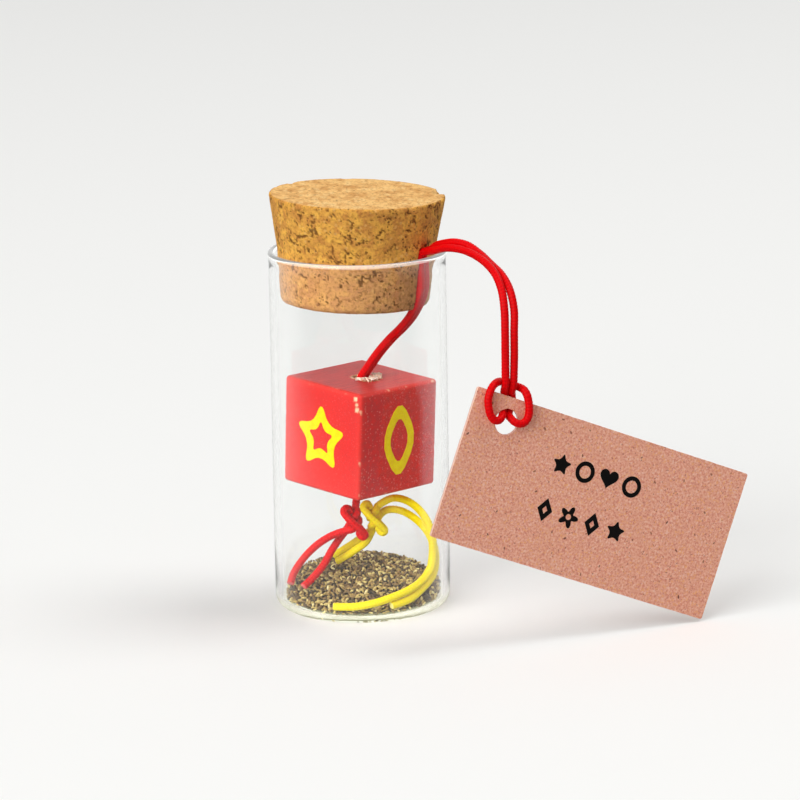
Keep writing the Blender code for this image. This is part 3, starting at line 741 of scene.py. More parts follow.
def makeGlassMaterial():
    plan = glassPlan
    black = (0.0, 0.0, 0.0, 1.0)
    material, tree, shader = newMaterial("clearGlass", plan["clear"], 0.0)
    shader.inputs["IOR"].default_value = 1.45
    shader.inputs["Transmission Weight"].default_value = 1.0
    place = objectPlace(tree)
    smear, _ = mottle(tree, place, size=6.0, low=0.5, high=0.8)
    tree.links.new(rescaled(tree, smear, 0.0, 1.0, 0.0, plan["smear"]), shader.inputs["Roughness"])
    # thick glass looks green, so the heel is tinted; both rounded edges get painted light as emission, a
    # painted glow on the heel and a painted highlight on the lip
    heel = attribute(tree, "heel")
    lip = attribute(tree, "lip")
    tree.links.new(mixColours(tree, heel, plan["clear"], plan["heelTint"]), shader.inputs["Base Color"])
    paintedGlow = mixColours(tree, heel, black, plan["heelPaintedGlow"])
    paintedGlow = mixColours(tree, lip, paintedGlow, plan["lipPaintedHighlight"])
    tree.links.new(paintedGlow, shader.inputs["Emission Color"])
    shader.inputs["Emission Strength"].default_value = 1.0
    # light reaches what stands inside, and rays caught in the glass are let out
    path = addNode(tree, "ShaderNodeLightPath")
    deep = addNode(tree, "ShaderNodeMath", {1: plan["mostBounces"]}, operation="GREATER_THAN")
    most = addNode(tree, "ShaderNodeMath", operation="MAXIMUM")
    shadow = rescaled(tree, path.outputs["Is Shadow Ray"], 0.0, 1.0, 0.0, plan["letThrough"])
    linked(tree,
           (path.outputs["Ray Depth"], deep.inputs[0]),
           (shadow, most.inputs[0]),
           (deep.outputs[0], most.inputs[1]))
    tree.links.new(rescaled(tree, most.outputs[0], 0.0, 1.0, 1.0, 0.0), shader.inputs["Alpha"])
    return material


finished(makeGlass(), "vial", "clear_glass", makeGlassMaterial(), "glass_vial")
print("glass made")


# The cork

corkPlan = {
    "topRadius": 12.4 * mm,
    "rimRadius": 11.1 * mm,
    "bottomRadius": 10.5 * mm,
    "top": 59.4 * mm,
    "rim": 51.5 * mm,
    "bottom": 44.2 * mm,
    "lean": 2.2,              # degrees, the whole cork leans to the right
    "shift": -0.15 * mm,
    "topRounding": 0.35 * mm,
    "bottomRounding": 0.7 * mm,
    "rings": 170,
    "steps": 320,
    "granule": 1.05 * mm,
    "fineGranule": 0.42,      # share of a granule
    "warpSize": 0.9 * mm,     # the granules are pressed out of shape
    "warpReach": 0.45 * mm,
    "flatStretch": 0.7,       # granules are drawn out along the cut faces
    "crackDepth": 0.13 * mm,
    "pitDepth": 0.2 * mm,
    "roughDepth": 0.05 * mm,
    "topWear": 0.3,           # share of the cracks and pits that a cut face shows
    "crumbleIn": 0.7 * mm,
    "crumbleDown": 0.5 * mm,
    "chip": (12.0 * mm, 2.5 * mm),
    "chipDepth": 0.9 * mm,
    "cordGap": 0.57 * mm,
    "dentStep": 0.05 * mm,
    "mostDents": 30,
    "bark": (linear(255, 193, 84), linear(218, 150, 72)),
    "barkBrown": linear(192, 130, 62),
    "barkGolden": linear(254, 190, 76),
    # painted reflection of the glass on the part of the cork inside it
    "neck": linear(200, 148, 114),
    "neckAmount": 0.5,
    "face": (linear(250, 200, 126), linear(220, 162, 92)),
    "facePale": linear(255, 216, 148),
    "crumb": linear(156, 98, 40),
    "pale": linear(248, 200, 120),
    "dark": linear(104, 66, 24),
    "crackDark": linear(98, 60, 22),
}


def corkProfile():
    plan = corkPlan
    topRadius = plan["topRadius"]
    bottomRadius = plan["bottomRadius"]
    corners = [(0.0, plan["top"]), (topRadius - plan["topRounding"], plan["top"]),
               (topRadius - 0.05 * mm, plan["top"] - 0.08 * mm), (topRadius, plan["top"] - 0.4 * mm),
               (plan["rimRadius"], plan["rim"]),
               (bottomRadius, plan["bottom"] + plan["bottomRounding"]),
               (bottomRadius - 0.25 * mm, plan["bottom"] + 0.2 * mm),
               (bottomRadius - plan["bottomRounding"], plan["bottom"]), (0.0, plan["bottom"])]
    run = [0.0]
    for a, b in zip(corners, corners[1:]):
        run.append(run[-1] + math.dist(a, b))
    wanted = np.linspace(0.0, run[-1], plan["rings"])
    return np.stack([np.interp(wanted, run, [c[0] for c in corners]),
                     np.interp(wanted, run, [c[1] for c in corners])], axis=1)


toneSpread = 9.7   # sets the tones of neighbouring granules apart


def granules(place, size):
    # how far the nearest seam between granules is, and the tone of the granule
    near, points = noise.voronoi(place / size)
    return near[1] - near[0], noise.cell(points[0] * toneSpread)


def corkGrain(place, onFlat):
    # how cracked and pitted the cork is at a place, and the tone of its granules
    plan = corkPlan
    sample = Vector((place.x, place.y * (plan["flatStretch"] if onFlat else 1.0), place.z))
    warp = noise.noise_vector(sample / plan["warpSize"]) * plan["warpReach"]
    seam, tone = granules(sample + warp, plan["granule"])
    fineSeam, fineTone = granules(sample + warp + Vector((3, 1, 2)), plan["granule"] * plan["fineGranule"])
    patchy = noise.noise(place / (1.7 * mm)) + 0.6 * noise.noise(place / (0.55 * mm))
    crack = stepBetween(0.17, 0.04, seam) * stepBetween(-0.05, 0.5, patchy)
    pit = stepBetween(0.55, 0.8, fineTone) * stepBetween(0.1, 0.35, fineSeam)
    pit *= stepBetween(0.0, 0.5, patchy)
    return crack, pit, 0.6 * tone + 0.4 * fineTone


def makeCork():
    plan = corkPlan
    mesh = turnedMesh("cork", [tuple(p) for p in corkProfile()], plan["steps"])
    cordTree = kdtree.KDTree(len(pathA) + len(pathB) + len(loopPath))
    for index, place in enumerate([*pathA, *pathB, *loopPath]):
        cordTree.insert(place, index)
    cordTree.balance()
    cracks, tones, tops = [], [], []
    atRim = Matrix.Translation((0.0, 0.0, plan["rim"]))
    placed = (Matrix.Translation((plan["shift"], 0.0, 0.0)) @ atRim
              @ Matrix.Rotation(math.radians(plan["lean"]), 4, "Y") @ atRim.inverted())
    outPlaced = placed.to_3x3()
    chipPlace = Vector((*plan["chip"], plan["top"]))
    for vertex in mesh.vertices:
        unworn = Vector(vertex.co)
        place = Vector(vertex.co)
        radial = Vector((place.x, place.y, 0.0))
        reach = radial.length
        radial = radial.normalized() if reach > 0 else Vector((1.0, 0.0, 0.0))
        onTop = place.z > plan["top"] - 0.02 * mm
        onBottom = place.z < plan["bottom"] + 0.02 * mm
        crack, pit, tone = corkGrain(place, onTop or onBottom)
        inward = -radial
        if onTop:
            crack *= plan["topWear"]
            pit *= plan["topWear"]
            inward = Vector((0.0, 0.0, -1.0))
        elif onBottom:
            inward = Vector((0.0, 0.0, 1.0))
        rough = (plan["roughDepth"] * noise.noise(place / (0.8 * mm))
                 + plan["roughDepth"] * noise.noise(place / (3 * mm)))
        place += inward * (crack * plan["crackDepth"] + pit * plan["pitDepth"] + abs(rough))
        # the top edge crumbles a little, and has one chip at the back right
        edge = (stepBetween(1.0 * mm, 0.0, plan["top"] - unworn.z)
                * stepBetween(1.2 * mm, 0.0, plan["topRadius"] - reach))
        crumble = max(0.0, noise.noise(unworn / (1.4 * mm)) - 0.22)
        place -= radial * edge * crumble * plan["crumbleIn"]
        place.z -= edge * crumble * plan["crumbleDown"]
        chip = stepBetween(1.5 * mm, 0.6 * mm, (unworn - chipPlace).length)
        place -= (radial * 0.35 + Vector((0.0, 0.0, 0.9))) * chip * plan["chipDepth"]
        crack = max(crack, 0.8 * chip)
        place = placed @ place
        # the cords press a dent into the side
        for _ in range(plan["mostDents"]):
            _, _, distance = cordTree.find(place)
            if distance > plan["cordGap"] or onTop or onBottom:
                break
            place -= outPlaced @ radial * plan["dentStep"]
        vertex.co = place
        cracks.append(min(1.0, crack + pit))
        tones.append(tone)
        tops.append(1.0 if onTop else 0.0)
    addNumbers(mesh, "crack", cracks)
    addNumbers(mesh, "tone", tones)
    addNumbers(mesh, "cutFace", tops)
    return newObject("corkBody", mesh)


def makeCorkMaterial():
    plan = corkPlan
    material, tree, shader = newMaterial("corkBark", linear(200, 150, 90), 0.85)
    place = objectPlace(tree)
    tone = attribute(tree, "tone")
    crack = attribute(tree, "crack")
    cutFace = attribute(tree, "cutFace")
    # each granule has its own brown, and some patches are darker or golden
    side = mixColours(tree, rescaled(tree, tone, -0.6, 0.6), *plan["bark"])
    broad, _ = mottle(tree, place, size=3.4, low=0.42, high=0.66)
    side = tinted(tree, side, broad, 0.45, plan["barkBrown"])
    golden, _ = mottle(tree, place, size=2.1, low=0.55, high=0.72)
    side = tinted(tree, side, golden, 0.6, plan["barkGolden"])
    # painted reflection: the part inside the glass is tinted paler and pinker, as the glass's reflection
    # makes it look
    split = addNode(tree, "ShaderNodeSeparateXYZ")
    tree.links.new(place, split.inputs[0])
    rim = plan["rim"] / mm
    reflectedInNeck = rescaled(tree, split.outputs["Z"], rim, rim - 1.0, 0.0, plan["neckAmount"])
    side = mixColours(tree, reflectedInNeck, side, plan["neck"])
    # the cut face is blotchy, with pale flakes
    flat = objectPlace(tree, stretch=(1.0, 1.9, 1.0))
    patch, _ = mottle(tree, flat, size=1.5, low=0.42, high=0.62)
    top = mixColours(tree, patch, *plan["face"])
    flake = specks(tree, flat, size=1.1, reach=0.46, share=0.4)
    top = tinted(tree, top, flake, 0.5, plan["facePale"])
    colour = mixColours(tree, cutFace, side, top)
    # fine crumbs, pale specks, dark specks in clusters, and the cracks
    fine, fineHeight = mottle(tree, place, size=0.42, low=0.48, high=0.64)
    fineTop, _ = mottle(tree, flat, size=0.5, low=0.5, high=0.66)
    colour = tinted(tree, colour, mixColours(tree, cutFace, fine, fineTop), 0.52, plan["crumb"])
    pale = specks(tree, place, size=0.7, reach=0.33, share=0.22)
    colour = tinted(tree, colour, pale, 0.35, plan["pale"])
    dark = specks(tree, place, size=0.5, reach=0.36, share=0.3)
    clusters, _ = mottle(tree, place, size=2.4, low=0.4, high=0.58)
    thinned = mixColours(tree, cutFace, clusters, (0.22, 0.22, 0.22, 1.0))
    darkHere = mixColours(tree, 1.0, dark, thinned, "MULTIPLY")
    colour = tinted(tree, colour, darkHere, 0.85, plan["dark"])
    colour = mixColours(tree, rescaled(tree, crack, 0.15, 0.85, 0.0, 0.82), colour, plan["crackDark"])
    tree.links.new(colour, shader.inputs["Base Color"])
    bumpFrom(tree, shader, fineHeight, distance=0.16 * mm, strength=0.7)
    shader.inputs["Specular IOR Level"].default_value = 0.25
    return material


finished(makeCork(), "cork", "cork", makeCorkMaterial(), "cork_stopper")
print("cork made")


# The painted cube, its marks and the torn wood by its hole

cubePlan = {
    "edge": 15.344 * mm,
    "rounding": 0.55 * mm,
    "holeRadius": 1.3 * mm,
    "centre": 25.5 * mm,
    "turn": 44.3,             # degrees
    "leanForward": 1.3,
    "leanRight": 2.3,
    "edgeSteps": (0.0, 0.12, 0.26, 0.42, 0.6, 0.8, 1.0),   # shares of the rounding
    "faceSteps": 45,
    "boreSides": 48,
    "bareRing": 1.6 * mm,     # paint is broken away round the hole
    "tornReach": 1.3 * mm,    # and further on the side the cord rubs
    "bareDepth": 0.8 * mm,
    "paintDepth": 0.06 * mm,
    "swell": 0.02 * mm,
    # three chips by the front upright edge, near the top: height, aside and reach
    "chips": ((6.9 * mm, 1.0 * mm, 0.36 * mm), (6.15 * mm, 0.75 * mm, 0.26 * mm),
              (5.5 * mm, 0.7 * mm, 0.36 * mm)),
    "markSize": 4.7 * mm,
    "markStroke": 1.3 * mm,
    "markThickness": 0.1 * mm,
    "paint": (linear(242, 50, 46), linear(220, 38, 38)),
    "paintBroad": linear(212, 44, 46),
    "dusty": (linear(208, 54, 48), linear(184, 68, 60)),
    "rubbed": linear(172, 34, 34),
    "scuffed": linear(200, 62, 62),
    "dust": linear(244, 150, 140),
    "edgeWear": linear(244, 70, 58),
    "wood": (linear(255, 232, 194), linear(232, 188, 138)),
    "yellow": (linear(255, 238, 12), linear(246, 218, 10)),
}
cubePlace = (Matrix.Translation((0.0, 0.0, cubePlan["centre"]))
             @ Matrix.Rotation(math.radians(cubePlan["leanForward"]), 4, "X")
             @ Matrix.Rotation(math.radians(cubePlan["leanRight"]), 4, "Y")
             @ Matrix.Rotation(math.radians(cubePlan["turn"]), 4, "Z"))


def cubeShell():
    # six grids of points, pulled in at the edges so that these are round
    half = cubePlan["edge"] / 2
    rounding = cubePlan["rounding"]
    steps = cubePlan["edgeSteps"]
    line = [-half + rounding * s for s in steps]
    line += list(np.linspace(-half + rounding, half - rounding, cubePlan["faceSteps"] + 2)[1:-1])
    line += [half - rounding * s for s in steps[::-1]]
    shape = bmesh.new()
    for axis in range(3):
        for sign in (-1, 1):
            grid = []
            for a in line:
                row = []
                for b in line:
                    point = Vector((0.0, 0.0, 0.0))
                    point[axis] = sign * half
                    point[(axis + 1) % 3] = a
                    point[(axis + 2) % 3] = b
                    core = Vector([min(half - rounding, max(rounding - half, c)) for c in point])
                    away = point - core
                    row.append(shape.verts.new(core + away.normalized() * rounding))
                grid.append(row)
            for i in range(len(line) - 1):
                for k in range(len(line) - 1):
                    face = (grid[i][k], grid[i + 1][k], grid[i + 1][k + 1], grid[i][k + 1])
                    shape.faces.new(face if sign > 0 else face[::-1])
    bmesh.ops.remove_doubles(shape, verts=shape.verts, dist=0.01 * mm)
    bmesh.ops.recalc_face_normals(shape, faces=shape.faces)
    mesh = bpy.data.meshes.new("cubeBead")
    shape.to_mesh(mesh)
    shape.free()
    return newObject("cubeBead", mesh)


def bored(cube):
    boreMesh = bpy.data.meshes.new("bore")
    bore = bmesh.new()
    bmesh.ops.create_cone(bore, cap_ends=True, segments=cubePlan["boreSides"],
                          radius1=cubePlan["holeRadius"], radius2=cubePlan["holeRadius"],
                          depth=cubePlan["edge"] * 1.2)
    bore.to_mesh(boreMesh)
    bore.free()
    drill = newObject("bore", boreMesh)
    cut = cube.modifiers.new("bore", "BOOLEAN")
    cut.operation = "DIFFERENCE"
    cut.solver = "EXACT"
    cut.object = drill
    cube = applied(cube)
    bpy.data.objects.remove(drill)
    return cube


def makeCube():
    plan = cubePlan
    half = plan["edge"] / 2
    cube = bored(cubeShell())
    bare, wear = [], []
    for vertex in cube.data.vertices:
        place = Vector(vertex.co)
        spread = math.hypot(place.x, place.y)
        # the paint is torn off furthest on the side the cord rubs
        torn = max(0.0, (0.1 * place.x - place.y) / max(spread, 0.1 * mm))
        ragged = (plan["bareRing"] + plan["tornReach"] * torn
                  + (0.2 + 0.5 * torn) * mm * noise.noise(place / (0.5 * mm)))
        byHole = spread < ragged and abs(place.z) > half - plan["bareDepth"]
        inBore = byHole or spread < plan["holeRadius"] + 0.02 * mm
        amount = 1.0 if inBore else 0.0
        toEdge = half - sorted(abs(c) for c in place)[1]   # how near the nearest edge is
        rim = stepBetween(0.5 * mm, 0.0, toEdge)
        worn = noise.noise(place / (1.5 * mm)) + 0.45 * noise.noise(place / (0.5 * mm))
        amount = max(amount, rim * stepBetween(0.36, 0.5, worn))
        for height, aside, reach in plan["chips"]:
            away = (place - Vector((-half, -half + aside, height))).length
            amount = max(amount, stepBetween(reach + 0.1 * mm, reach - 0.1 * mm, away))
        bare.append(amount)
        wear.append(stepBetween(1.3 * mm, 0.1 * mm, toEdge))
        swell = noise.noise(Vector((place.x / 4, place.y / 4, place.z / 1.2)) / mm)
        if not inBore:
            vertex.co += place.normalized() * plan["swell"] * swell
            vertex.co -= place.normalized() * plan["paintDepth"] * amount
    addNumbers(cube.data, "bare", bare)
    addNumbers(cube.data, "wear", wear)
    cube.data.shade_smooth()
    cube.data.set_sharp_from_angle(angle=math.radians(50))
    cube.data.transform(cubePlace)
    # which way each face looks at rest, so that the dust turns with the bead
    addNumbers(cube.data, "upward", [v.normal.z for v in cube.data.vertices])
    addNumbers(cube.data, "rightward", [v.normal.x for v in cube.data.vertices])
    return cube


def makeCubeMaterial():
    plan = cubePlan
    material, tree, shader = newMaterial("redPaint", linear(236, 56, 50), 0.4)
    turn = Euler([math.radians(plan[key]) for key in ("leanForward", "leanRight", "turn")])
    grainPlace = objectPlace(tree, turn=turn, stretch=(5.0, 0.35, 0.35))
    place = objectPlace(tree)
    grain, grainHeight = mottle(tree, grainPlace, size=0.9, low=0.38, high=0.66)
    broad, _ = mottle(tree, place, size=5.0, low=0.35, high=0.7)
    paint = tinted(tree, plan["paint"][0], grain, 0.5, plan["paint"][1])
    paint = tinted(tree, paint, broad, 0.3, plan["paintBroad"])
    # dust and scuffs gather on the top
    upward = attribute(tree, "upward")
    dull = mixColours(tree, rescaled(tree, broad, 0.0, 1.0, 0.3, 1.0), *plan["dusty"])
    paint = mixColours(tree, rescaled(tree, upward, 0.5, 0.9, 0.12, 0.5), paint, dull)
    rubbed = mixColours(tree, 1.0, grain, rescaled(tree, upward, 0.5, 0.9), "MULTIPLY")
    paint = mixColours(tree, rescaled(tree, rubbed, 0.2, 1.0, 0.0, 0.5), paint, plan["rubbed"])
    # the right side is dusty and scuffed
    sideOn = rescaled(tree, attribute(tree, "rightward"), 0.1, 0.6)
    scuff, _ = mottle(tree, place, size=0.7, low=0.35, high=0.65)
    scuffed = mixColours(tree, scuff, paint, plan["scuffed"])
    paint = mixColours(tree, rescaled(tree, sideOn, 0.0, 1.0, 0.1, 0.75), paint, scuffed)
    dust = specks(tree, place, size=0.32, reach=0.34, share=0.3)
    dusty = mixColours(tree, 1.0, dust, rescaled(tree, sideOn, 0.0, 1.0, 0.12, 0.5), "MULTIPLY")
    paint = tinted(tree, paint, dusty, 1.0, plan["dust"])
    paint = tinted(tree, paint, attribute(tree, "wear"), 0.3, plan["edgeWear"])
    bare = attribute(tree, "bare")
    wood = mixColours(tree, grain, *plan["wood"])
    tree.links.new(mixColours(tree, bare, paint, wood), shader.inputs["Base Color"])
    tree.links.new(rescaled(tree, bare, 0.0, 1.0, 0.4, 0.85), shader.inputs["Roughness"])
    bumpFrom(tree, shader, grainHeight, distance=0.06 * mm, strength=0.45)
    shader.inputs["Specular IOR Level"].default_value = 0.2
    return material


def softened(corners, rounds=2):
    # cuts each corner twice, which rounds it as thick paint does
    points = [Vector(c) for c in corners]
    for _ in range(rounds):
        cut = []
        for i, point in enumerate(points):
            after = points[(i + 1) % len(points)]
            cut += [point.lerp(after, 0.22), point.lerp(after, 0.78)]
        points = cut
    return points


def starCorners(radius, inner, points=5):
    corners = []
    for i in range(2 * points):
        reach = radius if i % 2 == 0 else inner
        angle = math.pi / 2 + math.pi * i / points
        corners.append((reach * math.cos(angle), reach * math.sin(angle)))
    return corners


def heartCorners(size, count=40):
    # the usual heart curve, 17 of its own units to each side of its middle
    corners = []
    for i in range(count):
        t = 2 * math.pi * i / count
        x = 16 * math.sin(t) ** 3
        y = 13 * math.cos(t) - 5 * math.cos(2 * t) - 2 * math.cos(3 * t) - math.cos(4 * t)
        corners.append((x * size / 17, (y + 2.5) * size / 17))
    return corners


def ringCorners(radius, count=40):
    return [(radius * math.cos(2 * math.pi * i / count), radius * math.sin(2 * math.pi * i / count))
            for i in range(count)]


def flowerCorners(size, petals=5, count=60):
    corners = []
    for i in range(count):
        angle = 2 * math.pi * i / count
        reach = size * (0.78 + 0.28 * math.cos(petals * angle))
        corners.append((reach * math.cos(angle), reach * math.sin(angle)))
    return corners


def diamondCorners(width, height):
    return [(0.0, height), (-width, 0.0), (0.0, -height), (width, 0.0)]


def flatMark(name, outlines, thickness):
    # outlines that lie inside another are holes in it
    outline = bpy.data.curves.new(name, "CURVE")
    outline.dimensions = "2D"
    outline.fill_mode = "BOTH"
    outline.extrude = thickness / 2
    for corners in outlines:
        spline = outline.splines.new("POLY")
        spline.points.add(len(corners) - 1)
        for target, corner in zip(spline.points, corners):
            target.co = (corner[0], corner[1], 0.0, 1.0)
        spline.use_cyclic_u = True
    made = applied(newObject(name, outline))
    shape = bmesh.new()
    shape.from_mesh(made.data)
    bmesh.ops.remove_doubles(shape, verts=shape.verts, dist=0.002 * mm)
    bmesh.ops.recalc_face_normals(shape, faces=shape.faces)
    shape.to_mesh(made.data)
    shape.free()
    return made


def makeCubeMarks():
    # one plain mark on each upright side; the first two face the viewer, on the left and the right
    size = cubePlan["markSize"]
    stroke = cubePlan["markStroke"]
    star = (size * 1.12, size * 0.54)
    diamond = (size * 0.78, size * 1.35)
    shapes = {
        "markStar": [softened(starCorners(*star)),
                     softened(starCorners(star[0] - stroke * 2.0, star[1] - stroke * 0.95))],
        "markDiamond": [softened(diamondCorners(*diamond)),
                        softened(diamondCorners(diamond[0] - stroke * 1.15, diamond[1] - stroke * 1.9))],
        "markHeart": [heartCorners(size), heartCorners(size - stroke * 1.2)],
        "markRing": [ringCorners(size * 0.9), ringCorners(size * 0.9 - stroke)],
    }
    stand = (Matrix.Translation((0.0, -cubePlan["edge"] / 2, 0.0))
             @ Matrix.Rotation(math.radians(90), 4, "X"))
    marks = []
    for index, (name, outlines) in enumerate(shapes.items()):
        mark = flatMark(name, outlines, cubePlan["markThickness"])
        facing = Matrix.Rotation(math.radians(-90 + 90 * index), 4, "Z")
        mark.data.transform(cubePlace @ facing @ stand)
        marks.append(mark)
    return marks


def makeYellowPaint():
    material, tree, shader = newMaterial("yellowPaint", linear(244, 218, 20), 0.4)
    patch, height = mottle(tree, objectPlace(tree), size=0.8, low=0.35, high=0.7)
    tree.links.new(mixColours(tree, patch, *cubePlan["yellow"]), shader.inputs["Base Color"])
    bumpFrom(tree, shader, height, distance=0.03 * mm, strength=0.4)
    shader.inputs["Specular IOR Level"].default_value = 0.2
    return material


splinterPlan = {
    "density": 1.4e7,
    "leastGap": 0.16 * mm,
    "length": 0.95 * mm,
    "width": 0.3 * mm,
    "thickness": 0.24 * mm,
    "tilt": 0.45,
    "lift": 0.2 * mm,
    "seed": 3,
    "fromHole": (0.45 * mm, 1.6 * mm),
    "above": 0.05 * mm,
    "stripStart": -150,       # degrees
    "stripTurn": 10,
    "stripSteps": 14,
    "wood": (linear(255, 250, 236), linear(255, 220, 190)),
    "vein": linear(222, 150, 118),
}


def makeSplinterBase():
    # a strip by the hole where the wood is torn up, on the side the cord rubs
    plan = splinterPlan
    nearHole = cubePlan["holeRadius"] + plan["fromHole"][0]
    farHole = cubePlan["holeRadius"] + plan["fromHole"][1]
    height = cubePlan["edge"] / 2 + plan["above"]
    points, faces = [], []
    for i in range(plan["stripSteps"] + 1):
        angle = math.radians(plan["stripStart"] + plan["stripTurn"] * i)
        for reach in (nearHole, farHole):
            points.append((reach * math.cos(angle), reach * math.sin(angle), height))
    for i in range(plan["stripSteps"]):
        faces.append((2 * i, 2 * i + 1, 2 * i + 3, 2 * i + 2))
    return newObject("tornWood", meshFrom("tornWood", points, faces, smooth=False))


def makeSplinterMaterial():
    material, tree, shader = newMaterial("tornWood", linear(248, 220, 178), 0.85)
    vein, height = mottle(tree, objectPlace(tree), size=0.25, low=0.35, high=0.7)
    colour = mixColours(tree, attribute(tree, "tone"), *splinterPlan["wood"])
    colour = tinted(tree, colour, vein, 0.25, splinterPlan["vein"])
    tree.links.new(colour, shader.inputs["Base Color"])
    bumpFrom(tree, shader, height, distance=0.03 * mm, strength=0.5)
    return material


finished(makeCube(), "cube", "red_paint", makeCubeMaterial(), "wooden_cube")
splinterBase = makeSplinterBase()
paleWood = makeSplinterMaterial()
yellowPaint = makeYellowPaint()
for mark in makeCubeMarks():
    finished(mark, "cube", "red_paint", yellowPaint)


# Bits scattered on a surface: torn wood, seeds in the vial, flecks in the card

def makeScatterTree():
    # places bits of a size on a surface, each turned and tilted at random, with its own tone
    tree = bpy.data.node_groups.new("scatterBits", "GeometryNodeTree")
    tree.is_modifier = True
    face = tree.interface
    face.new_socket("Geometry", in_out="INPUT", socket_type="NodeSocketGeometry")
    for name, kind in (("Density", "Float"), ("Least Gap", "Float"), ("Length", "Float"), ("Width", "Float"),
                       ("Thickness", "Float"), ("Tilt", "Float"), ("Lift", "Float"), ("Seed", "Int"),
                       ("Finish", "Material")):
        face.new_socket(name, in_out="INPUT", socket_type="NodeSocket" + kind)
    face.new_socket("Geometry", in_out="OUTPUT", socket_type="NodeSocketGeometry")
    start = tree.nodes.new("NodeGroupInput").outputs
    end = tree.nodes.new("NodeGroupOutput")
    spread = addNode(tree, "GeometryNodeDistributePointsOnFaces", distribute_method="POISSON")
    ball = addNode(tree, "GeometryNodeMeshUVSphere", {"Segments": 7, "Rings": 4, "Radius": 0.5})
    bit = addNode(tree, "GeometryNodeTransform", {"Rotation": (0.0, math.pi / 2, 0.0)})   # pointed ends
    smooth = addNode(tree, "GeometryNodeSetShadeSmooth")
    size = addNode(tree, "ShaderNodeCombineXYZ")
    vary = addNode(tree, "FunctionNodeRandomValue", {2: 0.75, 3: 1.2}, data_type="FLOAT")
    scaled = addNode(tree, "ShaderNodeVectorMath", operation="SCALE")
    negative = addNode(tree, "ShaderNodeMath", {1: -1.0}, operation="MULTIPLY")
    low = addNode(tree, "ShaderNodeCombineXYZ")
    high = addNode(tree, "ShaderNodeCombineXYZ", {2: 2 * math.pi})
    turn = addNode(tree, "FunctionNodeRandomValue", data_type="FLOAT_VECTOR")
    rotate = addNode(tree, "FunctionNodeRotateRotation", rotation_space="LOCAL")
    place = addNode(tree, "GeometryNodeInstanceOnPoints")
    raised = addNode(tree, "ShaderNodeVectorMath", operation="SCALE")
    moved = addNode(tree, "GeometryNodeSetPosition")
    tone = addNode(tree, "FunctionNodeRandomValue", {2: 0.0, 3: 1.0}, data_type="FLOAT")
    store = addNode(tree, "GeometryNodeStoreNamedAttribute", {"Name": "tone"}, data_type="FLOAT",
                    domain="INSTANCE")
    real = addNode(tree, "GeometryNodeRealizeInstances")
    paint = addNode(tree, "GeometryNodeSetMaterial")
    linked(tree,
           # points on the surface, raised by Lift
           (start["Geometry"], spread.inputs["Mesh"]),
           (start["Density"], spread.inputs["Density Max"]),
           (start["Least Gap"], spread.inputs["Distance Min"]),
           (start["Seed"], spread.inputs["Seed"]),
           (spread.outputs["Normal"], raised.inputs[0]),
           (start["Lift"], raised.inputs["Scale"]),
           (spread.outputs["Points"], moved.inputs["Geometry"]),
           (raised.outputs[0], moved.inputs["Offset"]),
           # the size of each bit
           (start["Length"], size.inputs[0]),
           (start["Width"], size.inputs[1]),
           (start["Thickness"], size.inputs[2]),
           (size.outputs[0], scaled.inputs[0]),
           (vary.outputs[1], scaled.inputs["Scale"]),
           (start["Seed"], vary.inputs["Seed"]),
           # its turn about the surface's normal and its tilt from it
           (start["Tilt"], negative.inputs[0]),
           (negative.outputs[0], low.inputs[0]),
           (negative.outputs[0], low.inputs[1]),
           (start["Tilt"], high.inputs[0]),
           (start["Tilt"], high.inputs[1]),
           (low.outputs[0], turn.inputs[0]),
           (high.outputs[0], turn.inputs[1]),
           (start["Seed"], turn.inputs["Seed"]),
           (spread.outputs["Rotation"], rotate.inputs["Rotation"]),
           (turn.outputs[0], rotate.inputs["Rotate By"]),
           # the bits in their places, with their tone and finish
           (ball.outputs["Mesh"], bit.inputs["Geometry"]),
           (bit.outputs["Geometry"], smooth.inputs["Geometry"]),
           (moved.outputs["Geometry"], place.inputs["Points"]),
           (smooth.outputs["Geometry"], place.inputs["Instance"]),
           (rotate.outputs["Rotation"], place.inputs["Rotation"]),
           (scaled.outputs[0], place.inputs["Scale"]),
           (place.outputs["Instances"], store.inputs["Geometry"]),
           (tone.outputs[1], store.inputs["Value"]),
           (store.outputs["Geometry"], real.inputs["Geometry"]),
           (real.outputs["Geometry"], paint.inputs["Geometry"]),
           (start["Finish"], paint.inputs["Material"]),
           (paint.outputs["Geometry"], end.inputs["Geometry"]))
    return tree


scatterTree = makeScatterTree()


def scattered(base, plan, finish):
    # turns a base surface into the bits that lie on it
    modifier = base.modifiers.new("scatter", "NODES")
    modifier.node_group = scatterTree
    sockets = {item.name: item.identifier for item in scatterTree.interface.items_tree
               if item.in_out == "INPUT"}
    for name, key in (("Density", "density"), ("Least Gap", "leastGap"), ("Length", "length"),
                      ("Width", "width"), ("Thickness", "thickness"), ("Tilt", "tilt"),
                      ("Lift", "lift"), ("Seed", "seed")):
        modifier[sockets[name]] = plan[key]
    modifier[sockets["Finish"]] = finish
    return applied(base)


tornWood = scattered(splinterBase, splinterPlan, paleWood)
tornWood.data.transform(cubePlace)
finished(tornWood, "cube", "red_paint", paleWood)
print("cube made")


# The seeds

